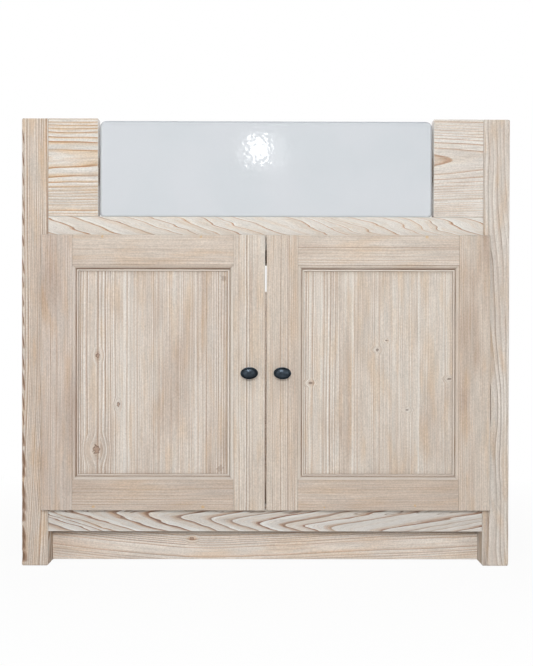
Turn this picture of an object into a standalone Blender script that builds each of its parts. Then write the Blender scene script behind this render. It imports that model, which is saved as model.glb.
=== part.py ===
"""Sink base cabinet in limed pine: a framed case, an apron sink and a pair of panelled doors.

Metres, +Z up. The front faces -Y. The origin lies on the floor, at the middle of the outer box.
Pieces on the right are worked out first, and those on the left are their mirror image.
"""
from math import cos, pi, radians, sin, tau

import bmesh
import bpy
from mathutils import Vector

# Case
WIDTH = 0.960
HEIGHT = 0.880
CASE_DEPTH = 0.580
POST_WIDTH = 0.052
FRONT_POST_DEPTH = 0.070
REAR_POST_DEPTH = 0.052
RAIL_THICKNESS = 0.030
TOE_HEIGHT = 0.068
BOTTOM_RAIL_HEIGHT = 0.055
SINK_RAIL_HEIGHT = 0.064
TOP_RAIL_HEIGHT = 0.060
MIDDLE_RAIL_HEIGHT = 0.050
SERVICE_GAP = 0.0687
BACK_PANEL_THICKNESS = 0.012
SIDE_PANEL_THICKNESS = 0.014
SIDE_PANEL_RECESS = 0.008
PLINTH_THICKNESS = 0.020
PLINTH_CLEARANCE = 0.003
BASE_THICKNESS = 0.018
CLEAT_SIZE = 0.025
BEARER_WIDTH = 0.045
BEARER_HEIGHT = 0.050
BEARER_FROM_END = 0.1175
POST_ROUNDING = 0.003
EDGE_EASE = 0.0010

# Joinery
FIT = 0.0003
TENON_LENGTH = 0.020
TENON_THICKNESS = 0.010
TENON_SHOULDER = 0.012
BEARER_TENON_LENGTH = 0.014
GROOVE_DEPTH = 0.009
EXPANSION_GAP = 0.0008

# Sink and its waste
SINK_WIDTH = 0.655
SINK_DEPTH = 0.460
SINK_HEIGHT = 0.188
SINK_WALL = 0.024
SINK_BASE = 0.024
SINK_EDGE_RADIUS = 0.008
SINK_RIM_RADIUS = 0.006
SINK_SETBACK = 0.001
SINK_SIDE_GAP = 0.0025
SINK_TOP_DROP = 0.004
BOWL_TAPER = 0.008
BOWL_CORNER_RADIUS = 0.045
BOWL_FLOOR_RADIUS = 0.020
WASTE_FLANGE_RADIUS = 0.056
WASTE_FLANGE_THICKNESS = 0.002
WASTE_BODY_RADIUS = 0.042
WASTE_BODY_DROP = 0.034
WASTE_CONE_DROP = 0.014
WASTE_TAIL_RADIUS = 0.021
WASTE_TAIL_LENGTH = 0.036
WASTE_WALL = 0.002
WASTE_DISH_WIDTH = 0.010
WASTE_DISH_DEPTH = 0.006
WASTE_HOLE_CLEARANCE = 0.002
WASTE_RECESS_DEPTH = 0.003
SEAL_THICKNESS = 0.004
SEAL_RADIUS = 0.058
NUT_RADIUS = 0.056
NUT_THICKNESS = 0.012
BASKET_LIP_RADIUS = 0.0435
BASKET_RADIUS = 0.037
BASKET_DEPTH = 0.026
BASKET_WALL = 0.0012
BASKET_STEM_RADIUS = 0.003
BASKET_GRIP_RADIUS = 0.008
BASKET_GRIP_RISE = 0.012
BASKET_HOLE_RADIUS = 0.004
BASKET_HOLE_RING = 0.023
BASKET_HOLES = 8

# Doors
DOOR_THICKNESS = 0.022
DOOR_STANDOFF = 0.0025
DOOR_OVERLAY = 0.010
DOOR_TOP_OVERLAY = 0.027
DOOR_MEETING_GAP = 0.003
DOOR_EDGE_RADIUS = 0.002
STILE_FACE = 0.061
RAIL_FACE = 0.059
PANEL_THICKNESS = 0.008
PANEL_FACE_DEPTH = 0.0085
DOOR_GROOVE_DEPTH = 0.009
DOOR_TENON_LENGTH = 0.034
DOOR_TENON_SHOULDER = 0.010

# Moulding worked on the inner edge of the door frame
QUIRK = 0.0010
OVOLO_WIDTH = 0.0066
OVOLO_DROP = 0.0046
FILLET_WIDTH = 0.0014
BEAD_RADIUS = 0.0019
BEAD_RISE = 0.0017
MITRE_GAP = 0.0005

# Knobs and bumpers
KNOB_WIDTH = 0.034
KNOB_HEIGHT = 0.0235
KNOB_PROJECTION = 0.028
KNOB_DOME = 0.008
KNOB_RIM = 0.0015
KNOB_RIM_THICKNESS = 0.003
KNOB_UNDERCUT = 0.003
KNOB_NECK_RADIUS = 0.005
KNOB_FOOT_RADIUS = 0.008
KNOB_FOOT_THICKNESS = 0.002
BOLT_RADIUS = 0.002
BOLT_HEAD_RADIUS = 0.0045
BOLT_HEAD_THICKNESS = 0.002
BOLT_ENGAGEMENT = 0.009
BUMPER_RADIUS = 0.003
BUMPER_FROM_EDGE = 0.020

# Hinges
HINGE_FROM_END = 0.092
PIN_FROM_EDGE = 0.007
PIN_DEPTH = 0.008
PIN_RADIUS = 0.0015
PIN_CLEARANCE = 0.00012
EYE_WALL = 0.0009
EYE_LENGTH = 0.016
EAR_THICKNESS = 0.003
EAR_WALL = 0.0013
HOUSING_FROM_EDGE = 0.003
HOUSING_WIDTH = 0.026
HOUSING_LENGTH = 0.040
HOUSING_DEPTH = 0.0125
HOUSING_WALL = 0.001
HOUSING_CORNER = 0.006
FLANGE_LENGTH = 0.058
FLANGE_WIDTH = 0.028
FLANGE_THICKNESS = 0.001
ARM_THICKNESS = 0.002
ARM_HEIGHT = 0.014
ARM_REACH = 0.0115
ARM_STRAIGHT = 0.0065
ARM_CRANK = 0.007
ARM_LAP = 0.010
PLATE_THICKNESS = 0.0025
PLATE_LENGTH = 0.034
PLATE_HEIGHT = 0.044

# Facets and the overlaps that let one body cut or join another cleanly
EASE_STEPS = 2
ROUND_STEPS = 3
CORNER_STEPS = 5
PROFILE_STEPS = 5
TURN_STEPS = 32
SMALL_TURN_STEPS = 16
OVERCUT = 0.002
ROOT = 0.005
PLANING = 0.001

# Planes and lines that follow from the sizes
HALF_WIDTH = WIDTH / 2
POST_INNER = HALF_WIDTH - POST_WIDTH
SIDE_INNER = HALF_WIDTH - RAIL_THICKNESS
FRONT_REACH = DOOR_STANDOFF + DOOR_THICKNESS + KNOB_PROJECTION
FRONT = (FRONT_REACH - CASE_DEPTH) / 2
BACK = FRONT + CASE_DEPTH
RAIL_BACK = FRONT + RAIL_THICKNESS
REAR_RAIL_FACE = BACK - RAIL_THICKNESS
FRONT_POST_BACK = FRONT + FRONT_POST_DEPTH
REAR_POST_FACE = BACK - REAR_POST_DEPTH
FLOOR_TOP = TOE_HEIGHT + BOTTOM_RAIL_HEIGHT
FLOOR_UNDERSIDE = FLOOR_TOP - BASE_THICKNESS
TOP_RAIL_FOOT = HEIGHT - TOP_RAIL_HEIGHT
SINK_SEAT = HEIGHT - SINK_TOP_DROP - SINK_HEIGHT - FIT
SINK_RAIL_FOOT = SINK_SEAT - SINK_RAIL_HEIGHT
SINK_UNDERSIDE = SINK_SEAT + FIT
SINK_FRONT = FRONT + SINK_SETBACK
SINK_MIDDLE = SINK_FRONT + SINK_DEPTH / 2
INFILL_INNER = SINK_WIDTH / 2 + SINK_SIDE_GAP
BACK_PANEL_HEAD = SINK_RAIL_FOOT - SERVICE_GAP - MIDDLE_RAIL_HEIGHT
TONGUE = GROOVE_DEPTH - EXPANSION_GAP
DOOR_BACK = FRONT - DOOR_STANDOFF
DOOR_FRONT = DOOR_BACK - DOOR_THICKNESS
DOOR_INNER = DOOR_MEETING_GAP / 2
DOOR_OUTER = POST_INNER + DOOR_OVERLAY
DOOR_FOOT = FLOOR_TOP - DOOR_OVERLAY
DOOR_HEAD = SINK_RAIL_FOOT + DOOR_TOP_OVERLAY
DOOR_MIDDLE = (DOOR_FOOT + DOOR_HEAD) / 2
STICKING_WIDTH = FIT + OVOLO_WIDTH + FILLET_WIDTH + 2 * BEAD_RADIUS
HINGE_X = DOOR_OUTER - PIN_FROM_EDGE
HINGE_Y = DOOR_BACK - PIN_DEPTH
KNOB_X = DOOR_INNER + STILE_FACE / 2
SIDES = {"left": -1, "right": 1}

# Colour, roughness and metallic value of each finish
FINISHES = {
    "limed_pine": ((0.61, 0.53, 0.45), 0.65, 0.0),
    "glazed_fireclay": ((0.78, 0.80, 0.81), 0.12, 0.0),
    "black_iron": ((0.018, 0.020, 0.024), 0.42, 1.0),
    "polished_steel": ((0.62, 0.62, 0.61), 0.22, 1.0),
    "nickelled_steel": ((0.55, 0.55, 0.53), 0.32, 1.0),
    "black_rubber": ((0.03, 0.03, 0.03), 0.80, 0.0),
    "clear_rubber": ((0.72, 0.72, 0.70), 0.45, 0.0),
}


def clear_scene():
    for thing in list(bpy.data.objects):
        bpy.data.objects.remove(thing, do_unlink=True)


def collection(name):
    group = bpy.data.collections.new(name)
    bpy.context.scene.collection.children.link(group)
    return group


def finish(piece, kind):
    """Give a piece its own material in one of the cabinet's finishes."""
    colour, roughness, metallic = FINISHES[kind]
    material = bpy.data.materials.new(f"{piece.name}_{kind}")
    material.use_nodes = True
    surface = material.node_tree.nodes["Principled BSDF"]
    surface.inputs["Base Color"].default_value = (*colour, 1.0)
    surface.inputs["Roughness"].default_value = roughness
    surface.inputs["Metallic"].default_value = metallic
    piece.data.materials.append(material)


def add(name, shape, place, group):
    """Turn a bmesh into an object that stands at a place."""
    mesh = bpy.data.meshes.new(name)
    shape.to_mesh(mesh)
    shape.free()
    piece = bpy.data.objects.new(name, mesh)
    piece.location = place
    group.objects.link(piece)
    return piece


def hide(tool):
    tool.hide_render = True
    tool.display_type = "WIRE"
    return tool


def middle(low, high):
    return (Vector(low) + Vector(high)) / 2


def mirrored(side, low, high):
    """Corners of a box given for the right, on the wanted side."""
    if side > 0:
        return Vector(low), Vector(high)
    return Vector((-high[0], low[1], low[2])), Vector((-low[0], high[1], high[2]))


def grown(low, high, margin):
    spread = Vector((margin, margin, margin))
    return Vector(low) - spread, Vector(high) + spread


def stretched(low, high, axis, direction, length):
    """Corners of a box whose end in one direction along an axis moves out by a length."""
    low, high = Vector(low), Vector(high)
    if direction > 0:
        high[axis] += length
    else:
        low[axis] -= length
    return low, high


def cube(low, high):
    """A box of the size between two corners, about its own middle."""
    shape = bmesh.new()
    bmesh.ops.create_cube(shape, size=1.0)
    bmesh.ops.scale(shape, vec=Vector(high) - Vector(low), verts=shape.verts)
    return shape


def round_edges(shape, edges, radius, steps):
    bmesh.ops.bevel(shape, geom=edges, offset=radius, segments=steps, profile=0.5, affect="EDGES")


def edges_along(shape, axis):
    """Edges of a box that run along an axis."""
    found = []
    for edge in shape.edges:
        run = edge.verts[1].co - edge.verts[0].co
        if abs(run[axis]) > 0.9 * run.length:
            found.append(edge)
    return found


def rounded_box(low, high, axis, radius):
    """A box with round corners where its edges run along an axis."""
    shape = cube(low, high)
    round_edges(shape, edges_along(shape, axis), radius, ROUND_STEPS)
    return shape


def combine(piece, other, operation):
    step = piece.modifiers.new(f"{operation.title()} {other.name}", "BOOLEAN")
    step.operation = operation
    step.object = other
    step.solver = "EXACT"


def box_tool(name, low, high):
    return hide(add(name, cube(low, high), middle(low, high), TOOLS))


def cut_box(piece, name, low, high):
    combine(piece, box_tool(f"{piece.name}_{name}", low, high), "DIFFERENCE")


def cylinder(radius, length, steps):
    shape = bmesh.new()
    bmesh.ops.create_cone(
        shape, cap_ends=True, segments=steps, radius1=radius, radius2=radius, depth=length
    )
    return shape


def turned(name, profile, place, group, steps):
    """A shape turned about Z from a profile of (radius, height) points."""
    shape = bmesh.new()
    points = [shape.verts.new((radius, 0.0, height)) for radius, height in profile]
    for start, end in zip(points, points[1:]):
        shape.edges.new((start, end))
    if profile[0][0] > 0:
        shape.edges.new((points[-1], points[0]))
    piece = add(name, shape, place, group)
    turn = piece.modifiers.new("Turned profile", "SCREW")
    turn.angle = tau
    turn.steps = steps
    turn.render_steps = steps
    turn.use_merge_vertices = True
    turn.merge_threshold = 0.00001
    return piece


def board(name, low, high, kind="limed_pine"):
    """A piece sawn square, with its arrises eased."""
    piece = add(name, cube(low, high), middle(low, high), PARTS)
    ease = piece.modifiers.new("Eased arrises", "BEVEL")
    ease.width = EDGE_EASE
    ease.segments = EASE_STEPS
    finish(piece, kind)
    return piece


def post(name, side, front, back):
    """A corner post, worn rounder on its outer arrises and at its foot."""
    low, high = mirrored(side, (POST_INNER, front, 0.0), (HALF_WIDTH, back, HEIGHT))
    shape = cube(low, high)
    weights = shape.edges.layers.float.new("bevel_weight_edge")
    for edge in shape.edges:
        centre = (edge.verts[0].co + edge.verts[1].co) / 2
        worn = centre.x * side > POST_WIDTH / 4 or centre.z < -HEIGHT / 4
        edge[weights] = 1.0 if worn else EDGE_EASE / POST_ROUNDING
    piece = add(name, shape, middle(low, high), PARTS)
    ease = piece.modifiers.new("Worn arrises", "BEVEL")
    ease.width = POST_ROUNDING
    ease.segments = EASE_STEPS
    ease.limit_method = "WEIGHT"
    finish(piece, "limed_pine")
    return piece


def tenon(rail, mortised, low, high, axis, direction):
    """A tenon on a rail, from the mortised face to its tip, and the mortise that it fits."""
    tongue = stretched(low, high, axis, -direction, ROOT)
    combine(rail, box_tool(f"{rail.name}_tenon", *tongue), "UNION")
    hole = stretched(*grown(low, high, FIT), axis, -direction, OVERCUT)
    cut_box(mortised, "mortise", *hole)


def cross_tenons(rail, posts, foot, head, rail_front):
    """Tenons at both ends of a rail that runs across the case."""
    near = rail_front + (RAIL_THICKNESS - TENON_THICKNESS) / 2
    for side in SIDES.values():
        low = (POST_INNER, near, foot + TENON_SHOULDER)
        high = (POST_INNER + TENON_LENGTH, near + TENON_THICKNESS, head - TENON_SHOULDER)
        tenon(rail, posts[side], *mirrored(side, low, high), 0, side)


def cross_rail(name, posts, foot, head, rail_front):
    """A rail across the case between two posts."""
    low = (-POST_INNER + FIT, rail_front, foot)
    high = (POST_INNER - FIT, rail_front + RAIL_THICKNESS, head)
    rail = board(name, low, high)
    cross_tenons(rail, posts, foot, head, rail_front)
    return rail


def make_posts():
    front_posts, rear_posts = {}, {}
    for word, side in SIDES.items():
        front_posts[side] = post(f"front_post_{word}", side, FRONT, FRONT_POST_BACK)
        rear_posts[side] = post(f"rear_post_{word}", side, REAR_POST_FACE, BACK)
    return front_posts, rear_posts


def make_front_frame(front_posts):
    """Sink rail, bottom rail, the infill blocks beside the sink and the plinth board."""
    sink_rail = cross_rail("sink_rail", front_posts, SINK_RAIL_FOOT, SINK_SEAT, FRONT)
    cross_rail("bottom_rail", front_posts, TOE_HEIGHT, FLOOR_TOP, FRONT)
    near = FRONT + (RAIL_THICKNESS - TENON_THICKNESS) / 2
    for word, side in SIDES.items():
        low = (INFILL_INNER, FRONT, SINK_SEAT + FIT)
        high = (POST_INNER - FIT, RAIL_BACK, HEIGHT)
        block = board(f"infill_block_{word}", *mirrored(side, low, high))
        low = (POST_INNER, near, SINK_SEAT + FIT + TENON_SHOULDER)
        high = (POST_INNER + TENON_LENGTH, near + TENON_THICKNESS, HEIGHT - TENON_SHOULDER)
        tenon(block, front_posts[side], *mirrored(side, low, high), 0, side)
    low = (-POST_INNER + FIT, FRONT_POST_BACK - PLINTH_THICKNESS, PLINTH_CLEARANCE)
    high = (POST_INNER - FIT, FRONT_POST_BACK, FLOOR_UNDERSIDE - FIT)
    board("plinth_board", low, high)
    return sink_rail


def make_sides(front_posts, rear_posts):
    """Framed sides: a rail at top and bottom and a panel held in grooves all round."""
    panel_outer = HALF_WIDTH - SIDE_PANEL_RECESS
    panel_inner = panel_outer - SIDE_PANEL_THICKNESS
    tenon_inner = HALF_WIDTH - (RAIL_THICKNESS + TENON_THICKNESS) / 2
    rows = {"bottom": (TOE_HEIGHT, FLOOR_TOP), "top": (TOP_RAIL_FOOT, HEIGHT)}
    ends = ((front_posts, FRONT_POST_BACK, -1), (rear_posts, REAR_POST_FACE, 1))
    for word, side in SIDES.items():
        low = (panel_inner, FRONT_POST_BACK - TONGUE, FLOOR_TOP - TONGUE)
        high = (panel_outer, REAR_POST_FACE + TONGUE, TOP_RAIL_FOOT + TONGUE)
        board(f"side_panel_{word}", *mirrored(side, low, high))
        slot_low = (panel_inner - FIT, FRONT_POST_BACK - GROOVE_DEPTH, FLOOR_TOP - GROOVE_DEPTH)
        slot_high = (panel_outer + FIT, REAR_POST_FACE + GROOVE_DEPTH, TOP_RAIL_FOOT + GROOVE_DEPTH)
        slot = mirrored(side, slot_low, slot_high)
        for row, (foot, head) in rows.items():
            low = (SIDE_INNER, FRONT_POST_BACK + FIT, foot)
            high = (HALF_WIDTH, REAR_POST_FACE - FIT, head)
            rail = board(f"side_{row}_rail_{word}", *mirrored(side, low, high))
            for posts, face, direction in ends:
                near, far = sorted((face, face + direction * TENON_LENGTH))
                low = (tenon_inner, near, foot + TENON_SHOULDER)
                high = (tenon_inner + TENON_THICKNESS, far, head - TENON_SHOULDER)
                tenon(rail, posts[side], *mirrored(side, low, high), 1, direction)
            cut_box(rail, "groove", *slot)
        cut_box(front_posts[side], "groove", *slot)
        cut_box(rear_posts[side], "groove", *slot)


def make_back(rear_posts):
    """Back rails, and a low panel that leaves the pipes room above it."""
    bottom = cross_rail("back_bottom_rail", rear_posts, TOE_HEIGHT, FLOOR_TOP, REAR_RAIL_FACE)
    middle_head = BACK_PANEL_HEAD + MIDDLE_RAIL_HEIGHT
    centre = cross_rail("back_middle_rail", rear_posts, BACK_PANEL_HEAD, middle_head, REAR_RAIL_FACE)
    sink_rail = cross_rail("back_sink_rail", rear_posts, SINK_RAIL_FOOT, SINK_SEAT, REAR_RAIL_FACE)
    cross_rail("back_top_rail", rear_posts, TOP_RAIL_FOOT, HEIGHT, REAR_RAIL_FACE)
    near = REAR_RAIL_FACE + (RAIL_THICKNESS - BACK_PANEL_THICKNESS) / 2
    far = near + BACK_PANEL_THICKNESS
    low = (-POST_INNER - TONGUE, near, FLOOR_TOP - TONGUE)
    high = (POST_INNER + TONGUE, far, BACK_PANEL_HEAD + TONGUE)
    board("back_panel", low, high)
    slot_low = (-POST_INNER - GROOVE_DEPTH, near - FIT, FLOOR_TOP - GROOVE_DEPTH)
    slot_high = (POST_INNER + GROOVE_DEPTH, far + FIT, BACK_PANEL_HEAD + GROOVE_DEPTH)
    for piece in (bottom, centre, *rear_posts.values()):
        cut_box(piece, "groove", slot_low, slot_high)
    return sink_rail


def make_floor():
    """The base board, notched round the posts, and the cleats that it lies on."""
    low = (-SIDE_INNER + FIT, RAIL_BACK + FIT, FLOOR_UNDERSIDE)
    high = (SIDE_INNER - FIT, REAR_RAIL_FACE - FIT, FLOOR_TOP)
    base = board("base_board", low, high)
    for word, side in SIDES.items():
        low = (POST_INNER - FIT, FRONT, FLOOR_UNDERSIDE - OVERCUT)
        high = (HALF_WIDTH, FRONT_POST_BACK + FIT, FLOOR_TOP + OVERCUT)
        cut_box(base, "front_notch", *mirrored(side, low, high))
        low = (POST_INNER - FIT, REAR_POST_FACE - FIT, FLOOR_UNDERSIDE - OVERCUT)
        high = (HALF_WIDTH, BACK, FLOOR_TOP + OVERCUT)
        cut_box(base, "rear_notch", *mirrored(side, low, high))
        top = FLOOR_UNDERSIDE - FIT
        low = (SIDE_INNER - FIT - CLEAT_SIZE, FRONT_POST_BACK + FIT, top - CLEAT_SIZE)
        high = (SIDE_INNER - FIT, REAR_POST_FACE - FIT, top)
        board(f"base_cleat_{word}", *mirrored(side, low, high))


def make_bearers(sink_rail, back_sink_rail):
    """Two bearers from front to back that carry the sink."""
    reach = SINK_WIDTH / 2 - BEARER_FROM_END
    inner = reach - BEARER_WIDTH / 2
    tenon_inner = reach - TENON_THICKNESS / 2
    foot = SINK_SEAT - BEARER_HEIGHT
    ends = ((sink_rail, RAIL_BACK, -1), (back_sink_rail, REAR_RAIL_FACE, 1))
    for word, side in SIDES.items():
        low = (inner, RAIL_BACK + FIT, foot)
        high = (inner + BEARER_WIDTH, REAR_RAIL_FACE - FIT, SINK_SEAT)
        bearer = board(f"sink_bearer_{word}", *mirrored(side, low, high))
        for rail, face, direction in ends:
            near, far = sorted((face, face + direction * BEARER_TENON_LENGTH))
            low = (tenon_inner, near, foot + TENON_SHOULDER)
            high = (tenon_inner + TENON_THICKNESS, far, SINK_SEAT - TENON_SHOULDER)
            tenon(bearer, rail, *mirrored(side, low, high), 1, direction)


def bowl_tool(low, high):
    """The hollow of the sink: walls that lean in, round corners and a round foot to the walls."""
    shape = cube(low, high)
    size = Vector(high) - Vector(low)
    floor = [vert for vert in shape.verts if vert.co.z < 0]
    lean = ((size.x - 2 * BOWL_TAPER) / size.x, (size.y - 2 * BOWL_TAPER) / size.y, 1.0)
    bmesh.ops.scale(shape, vec=lean, verts=floor)
    round_edges(shape, edges_along(shape, 2), BOWL_CORNER_RADIUS, CORNER_STEPS)
    lowest = min(vert.co.z for vert in shape.verts)
    rim = [edge for edge in shape.edges if all(vert.co.z < lowest + FIT for vert in edge.verts)]
    round_edges(shape, rim, BOWL_FLOOR_RADIUS, ROUND_STEPS)
    return hide(add("sink_bowl", shape, middle(low, high), TOOLS))


def make_sink():
    """An apron sink: outer block, bowl, softened rim, and a stepped hole for the waste."""
    low = Vector((-SINK_WIDTH / 2, SINK_FRONT, SINK_UNDERSIDE))
    high = low + Vector((SINK_WIDTH, SINK_DEPTH, SINK_HEIGHT))
    shape = cube(low, high)
    round_edges(shape, shape.edges[:], SINK_EDGE_RADIUS, ROUND_STEPS)
    sink = add("sink", shape, middle(low, high), PARTS)
    sink.data.shade_smooth()
    finish(sink, "glazed_fireclay")
    bowl_low = low + Vector((SINK_WALL, SINK_WALL, SINK_BASE))
    bowl_high = high + Vector((-SINK_WALL, -SINK_WALL, OVERCUT))
    combine(sink, bowl_tool(bowl_low, bowl_high), "DIFFERENCE")
    rim = sink.modifiers.new("Rounded rim", "BEVEL")
    rim.width = SINK_RIM_RADIUS
    rim.segments = ROUND_STEPS
    rim.angle_limit = radians(60)
    floor = SINK_UNDERSIDE + SINK_BASE
    hole_radius = WASTE_BODY_RADIUS + WASTE_HOLE_CLEARANCE
    recess_radius = WASTE_FLANGE_RADIUS + WASTE_HOLE_CLEARANCE
    steps = (("recess", recess_radius, floor - WASTE_RECESS_DEPTH), ("hole", hole_radius, low.z - OVERCUT))
    for name, radius, foot in steps:
        length = floor + OVERCUT - foot
        place = (0.0, SINK_MIDDLE, foot + length / 2)
        drill = hide(add(f"sink_{name}", cylinder(radius, length, TURN_STEPS), place, TOOLS))
        combine(sink, drill, "DIFFERENCE")


def make_waste():
    """Strainer body through the sink, its seal and back nut below, and the basket that lifts out."""
    flange_foot = SINK_UNDERSIDE + SINK_BASE - WASTE_RECESS_DEPTH + FIT
    flange_top = flange_foot + WASTE_FLANGE_THICKNESS
    body_foot = SINK_UNDERSIDE - WASTE_BODY_DROP
    tail_top = body_foot - WASTE_CONE_DROP
    tail_foot = tail_top - WASTE_TAIL_LENGTH
    body_bore = WASTE_BODY_RADIUS - WASTE_WALL
    tail_bore = WASTE_TAIL_RADIUS - WASTE_WALL
    place = Vector((0.0, SINK_MIDDLE, 0.0))
    body_profile = [
        (WASTE_FLANGE_RADIUS, flange_top),
        (WASTE_FLANGE_RADIUS, flange_foot),
        (WASTE_BODY_RADIUS, flange_foot),
        (WASTE_BODY_RADIUS, body_foot),
        (WASTE_TAIL_RADIUS, tail_top),
        (WASTE_TAIL_RADIUS, tail_foot),
        (tail_bore, tail_foot),
        (tail_bore, tail_top + WASTE_WALL),
        (body_bore, body_foot + WASTE_WALL),
        (body_bore, flange_top - WASTE_DISH_DEPTH),
        (body_bore + WASTE_DISH_WIDTH, flange_top),
    ]
    body = turned("waste_body", body_profile, place, PARTS, TURN_STEPS)
    finish(body, "polished_steel")
    seal_top = SINK_UNDERSIDE - FIT
    ring_bore = WASTE_BODY_RADIUS + FIT
    seal = turned("waste_seal", ring_profile(ring_bore, SEAL_RADIUS, seal_top, SEAL_THICKNESS),
                  place, PARTS, TURN_STEPS)
    finish(seal, "black_rubber")
    nut_top = seal_top - SEAL_THICKNESS - FIT
    nut = turned("waste_nut", ring_profile(ring_bore, NUT_RADIUS, nut_top, NUT_THICKNESS),
                 place, PARTS, TURN_STEPS)
    finish(nut, "nickelled_steel")
    make_basket(place, flange_top, body_bore)


def ring_profile(bore, radius, top, thickness):
    return [(radius, top), (radius, top - thickness), (bore, top - thickness), (bore, top)]


def make_basket(place, flange_top, body_bore):
    """A cup with a lip that lies on the dish of the waste, a drilled floor and a grip on a stem."""
    slope = WASTE_DISH_DEPTH / WASTE_DISH_WIDTH
    lip_foot = flange_top - WASTE_DISH_DEPTH + (BASKET_LIP_RADIUS - body_bore) * slope + FIT
    lip_top = lip_foot + BASKET_WALL
    floor = lip_top - BASKET_DEPTH
    grip_foot = lip_top + BASKET_GRIP_RISE - BASKET_GRIP_RADIUS / 2
    grip_top = lip_top + BASKET_GRIP_RISE
    bore = BASKET_RADIUS - BASKET_WALL
    profile = [
        (0.0, grip_top),
        (BASKET_GRIP_RADIUS * cos(radians(45)), grip_top),
        (BASKET_GRIP_RADIUS, grip_foot),
        (BASKET_STEM_RADIUS, grip_foot),
        (BASKET_STEM_RADIUS, floor + BASKET_WALL),
        (bore, floor + BASKET_WALL),
        (bore, lip_top),
        (BASKET_LIP_RADIUS, lip_top),
        (BASKET_LIP_RADIUS, lip_foot),
        (BASKET_RADIUS, lip_foot),
        (BASKET_RADIUS, floor),
        (0.0, floor),
    ]
    basket = turned("strainer_basket", profile, place, PARTS, TURN_STEPS)
    finish(basket, "polished_steel")
    length = BASKET_WALL + 2 * OVERCUT
    for index in range(BASKET_HOLES):
        angle = tau * (index + 0.5) / BASKET_HOLES
        reach = Vector((cos(angle), sin(angle), 0.0)) * BASKET_HOLE_RING
        spot = place + reach + Vector((0.0, 0.0, floor + BASKET_WALL / 2))
        shape = cylinder(BASKET_HOLE_RADIUS, length, SMALL_TURN_STEPS // 2)
        combine(basket, hide(add("basket_hole", shape, spot, TOOLS)), "DIFFERENCE")


def sticking_section():
    """Moulded inner edge of a door member as (distance into the opening, depth from the face).

    Quirk, ovolo, fillet and bead in front, then the groove for the panel and the back lip. The
    first and last points lie inside the member, and the next ones are where the mitre starts.
    """
    ovolo_foot = QUIRK + OVOLO_DROP
    bead_start = FIT + OVOLO_WIDTH + FILLET_WIDTH
    groove_front = PANEL_FACE_DEPTH - FIT
    groove_back = PANEL_FACE_DEPTH + PANEL_THICKNESS + FIT
    groove_floor = STICKING_WIDTH - DOOR_GROOVE_DEPTH
    back = DOOR_THICKNESS + 2 * PLANING
    points = [(-ROOT, QUIRK)]
    for step in range(PROFILE_STEPS + 1):
        angle = step / PROFILE_STEPS * pi / 2
        points.append((FIT + OVOLO_WIDTH * sin(angle), QUIRK + OVOLO_DROP * (1 - cos(angle))))
    for step in range(PROFILE_STEPS + 1):
        angle = step / PROFILE_STEPS * pi
        points.append((bead_start + BEAD_RADIUS * (1 - cos(angle)), ovolo_foot - BEAD_RISE * sin(angle)))
    points += [
        (STICKING_WIDTH, groove_front),
        (groove_floor, groove_front),
        (groove_floor, groove_back),
        (STICKING_WIDTH, groove_back),
        (STICKING_WIDTH, back),
        (FIT, back),
        (-ROOT, back),
    ]
    return points


def sticking_tool(name, place, along, inward, length):
    """The moulded edge of one door member, a loft between two mitred ends."""
    section = sticking_section()
    shape = bmesh.new()
    rings = []
    for end in (-1, 1):
        ring = []
        for distance, depth in section:
            reach = end * (length / 2 - max(distance - FIT, 0.0) - MITRE_GAP)
            spot = along * reach + inward * distance + Vector((0.0, depth, 0.0))
            ring.append(shape.verts.new(spot))
        shape.faces.new((ring[0], ring[1], ring[-2], ring[-1]))
        shape.faces.new(ring[1:-1])
        rings.append(ring)
    count = len(section)
    for index in range(count):
        after = (index + 1) % count
        shape.faces.new((rings[0][index], rings[0][after], rings[1][after], rings[1][index]))
    bmesh.ops.recalc_face_normals(shape, faces=shape.faces)
    return hide(add(name, shape, place, TOOLS))


def member(name, side, low, high, axis_empty):
    """A door member left a little over size at the faces that are planed with the whole door."""
    low, high = mirrored(side, low, high)
    piece = add(name, cube(low, high), middle(low, high), PARTS)
    finish(piece, "limed_pine")
    hang(piece, axis_empty)
    return piece


def hang(piece, axis_empty):
    """Parent a piece to the empty on its hinge axis, where it stands."""
    piece.parent = axis_empty
    piece.matrix_parent_inverse = axis_empty.matrix_world.inverted()


def make_axis(word, side):
    empty = bpy.data.objects.new(f"{word}_door_axis", None)
    empty.location = (side * HINGE_X, HINGE_Y, DOOR_MIDDLE)
    PARTS.objects.link(empty)
    bpy.context.view_layer.update()
    return empty


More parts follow.
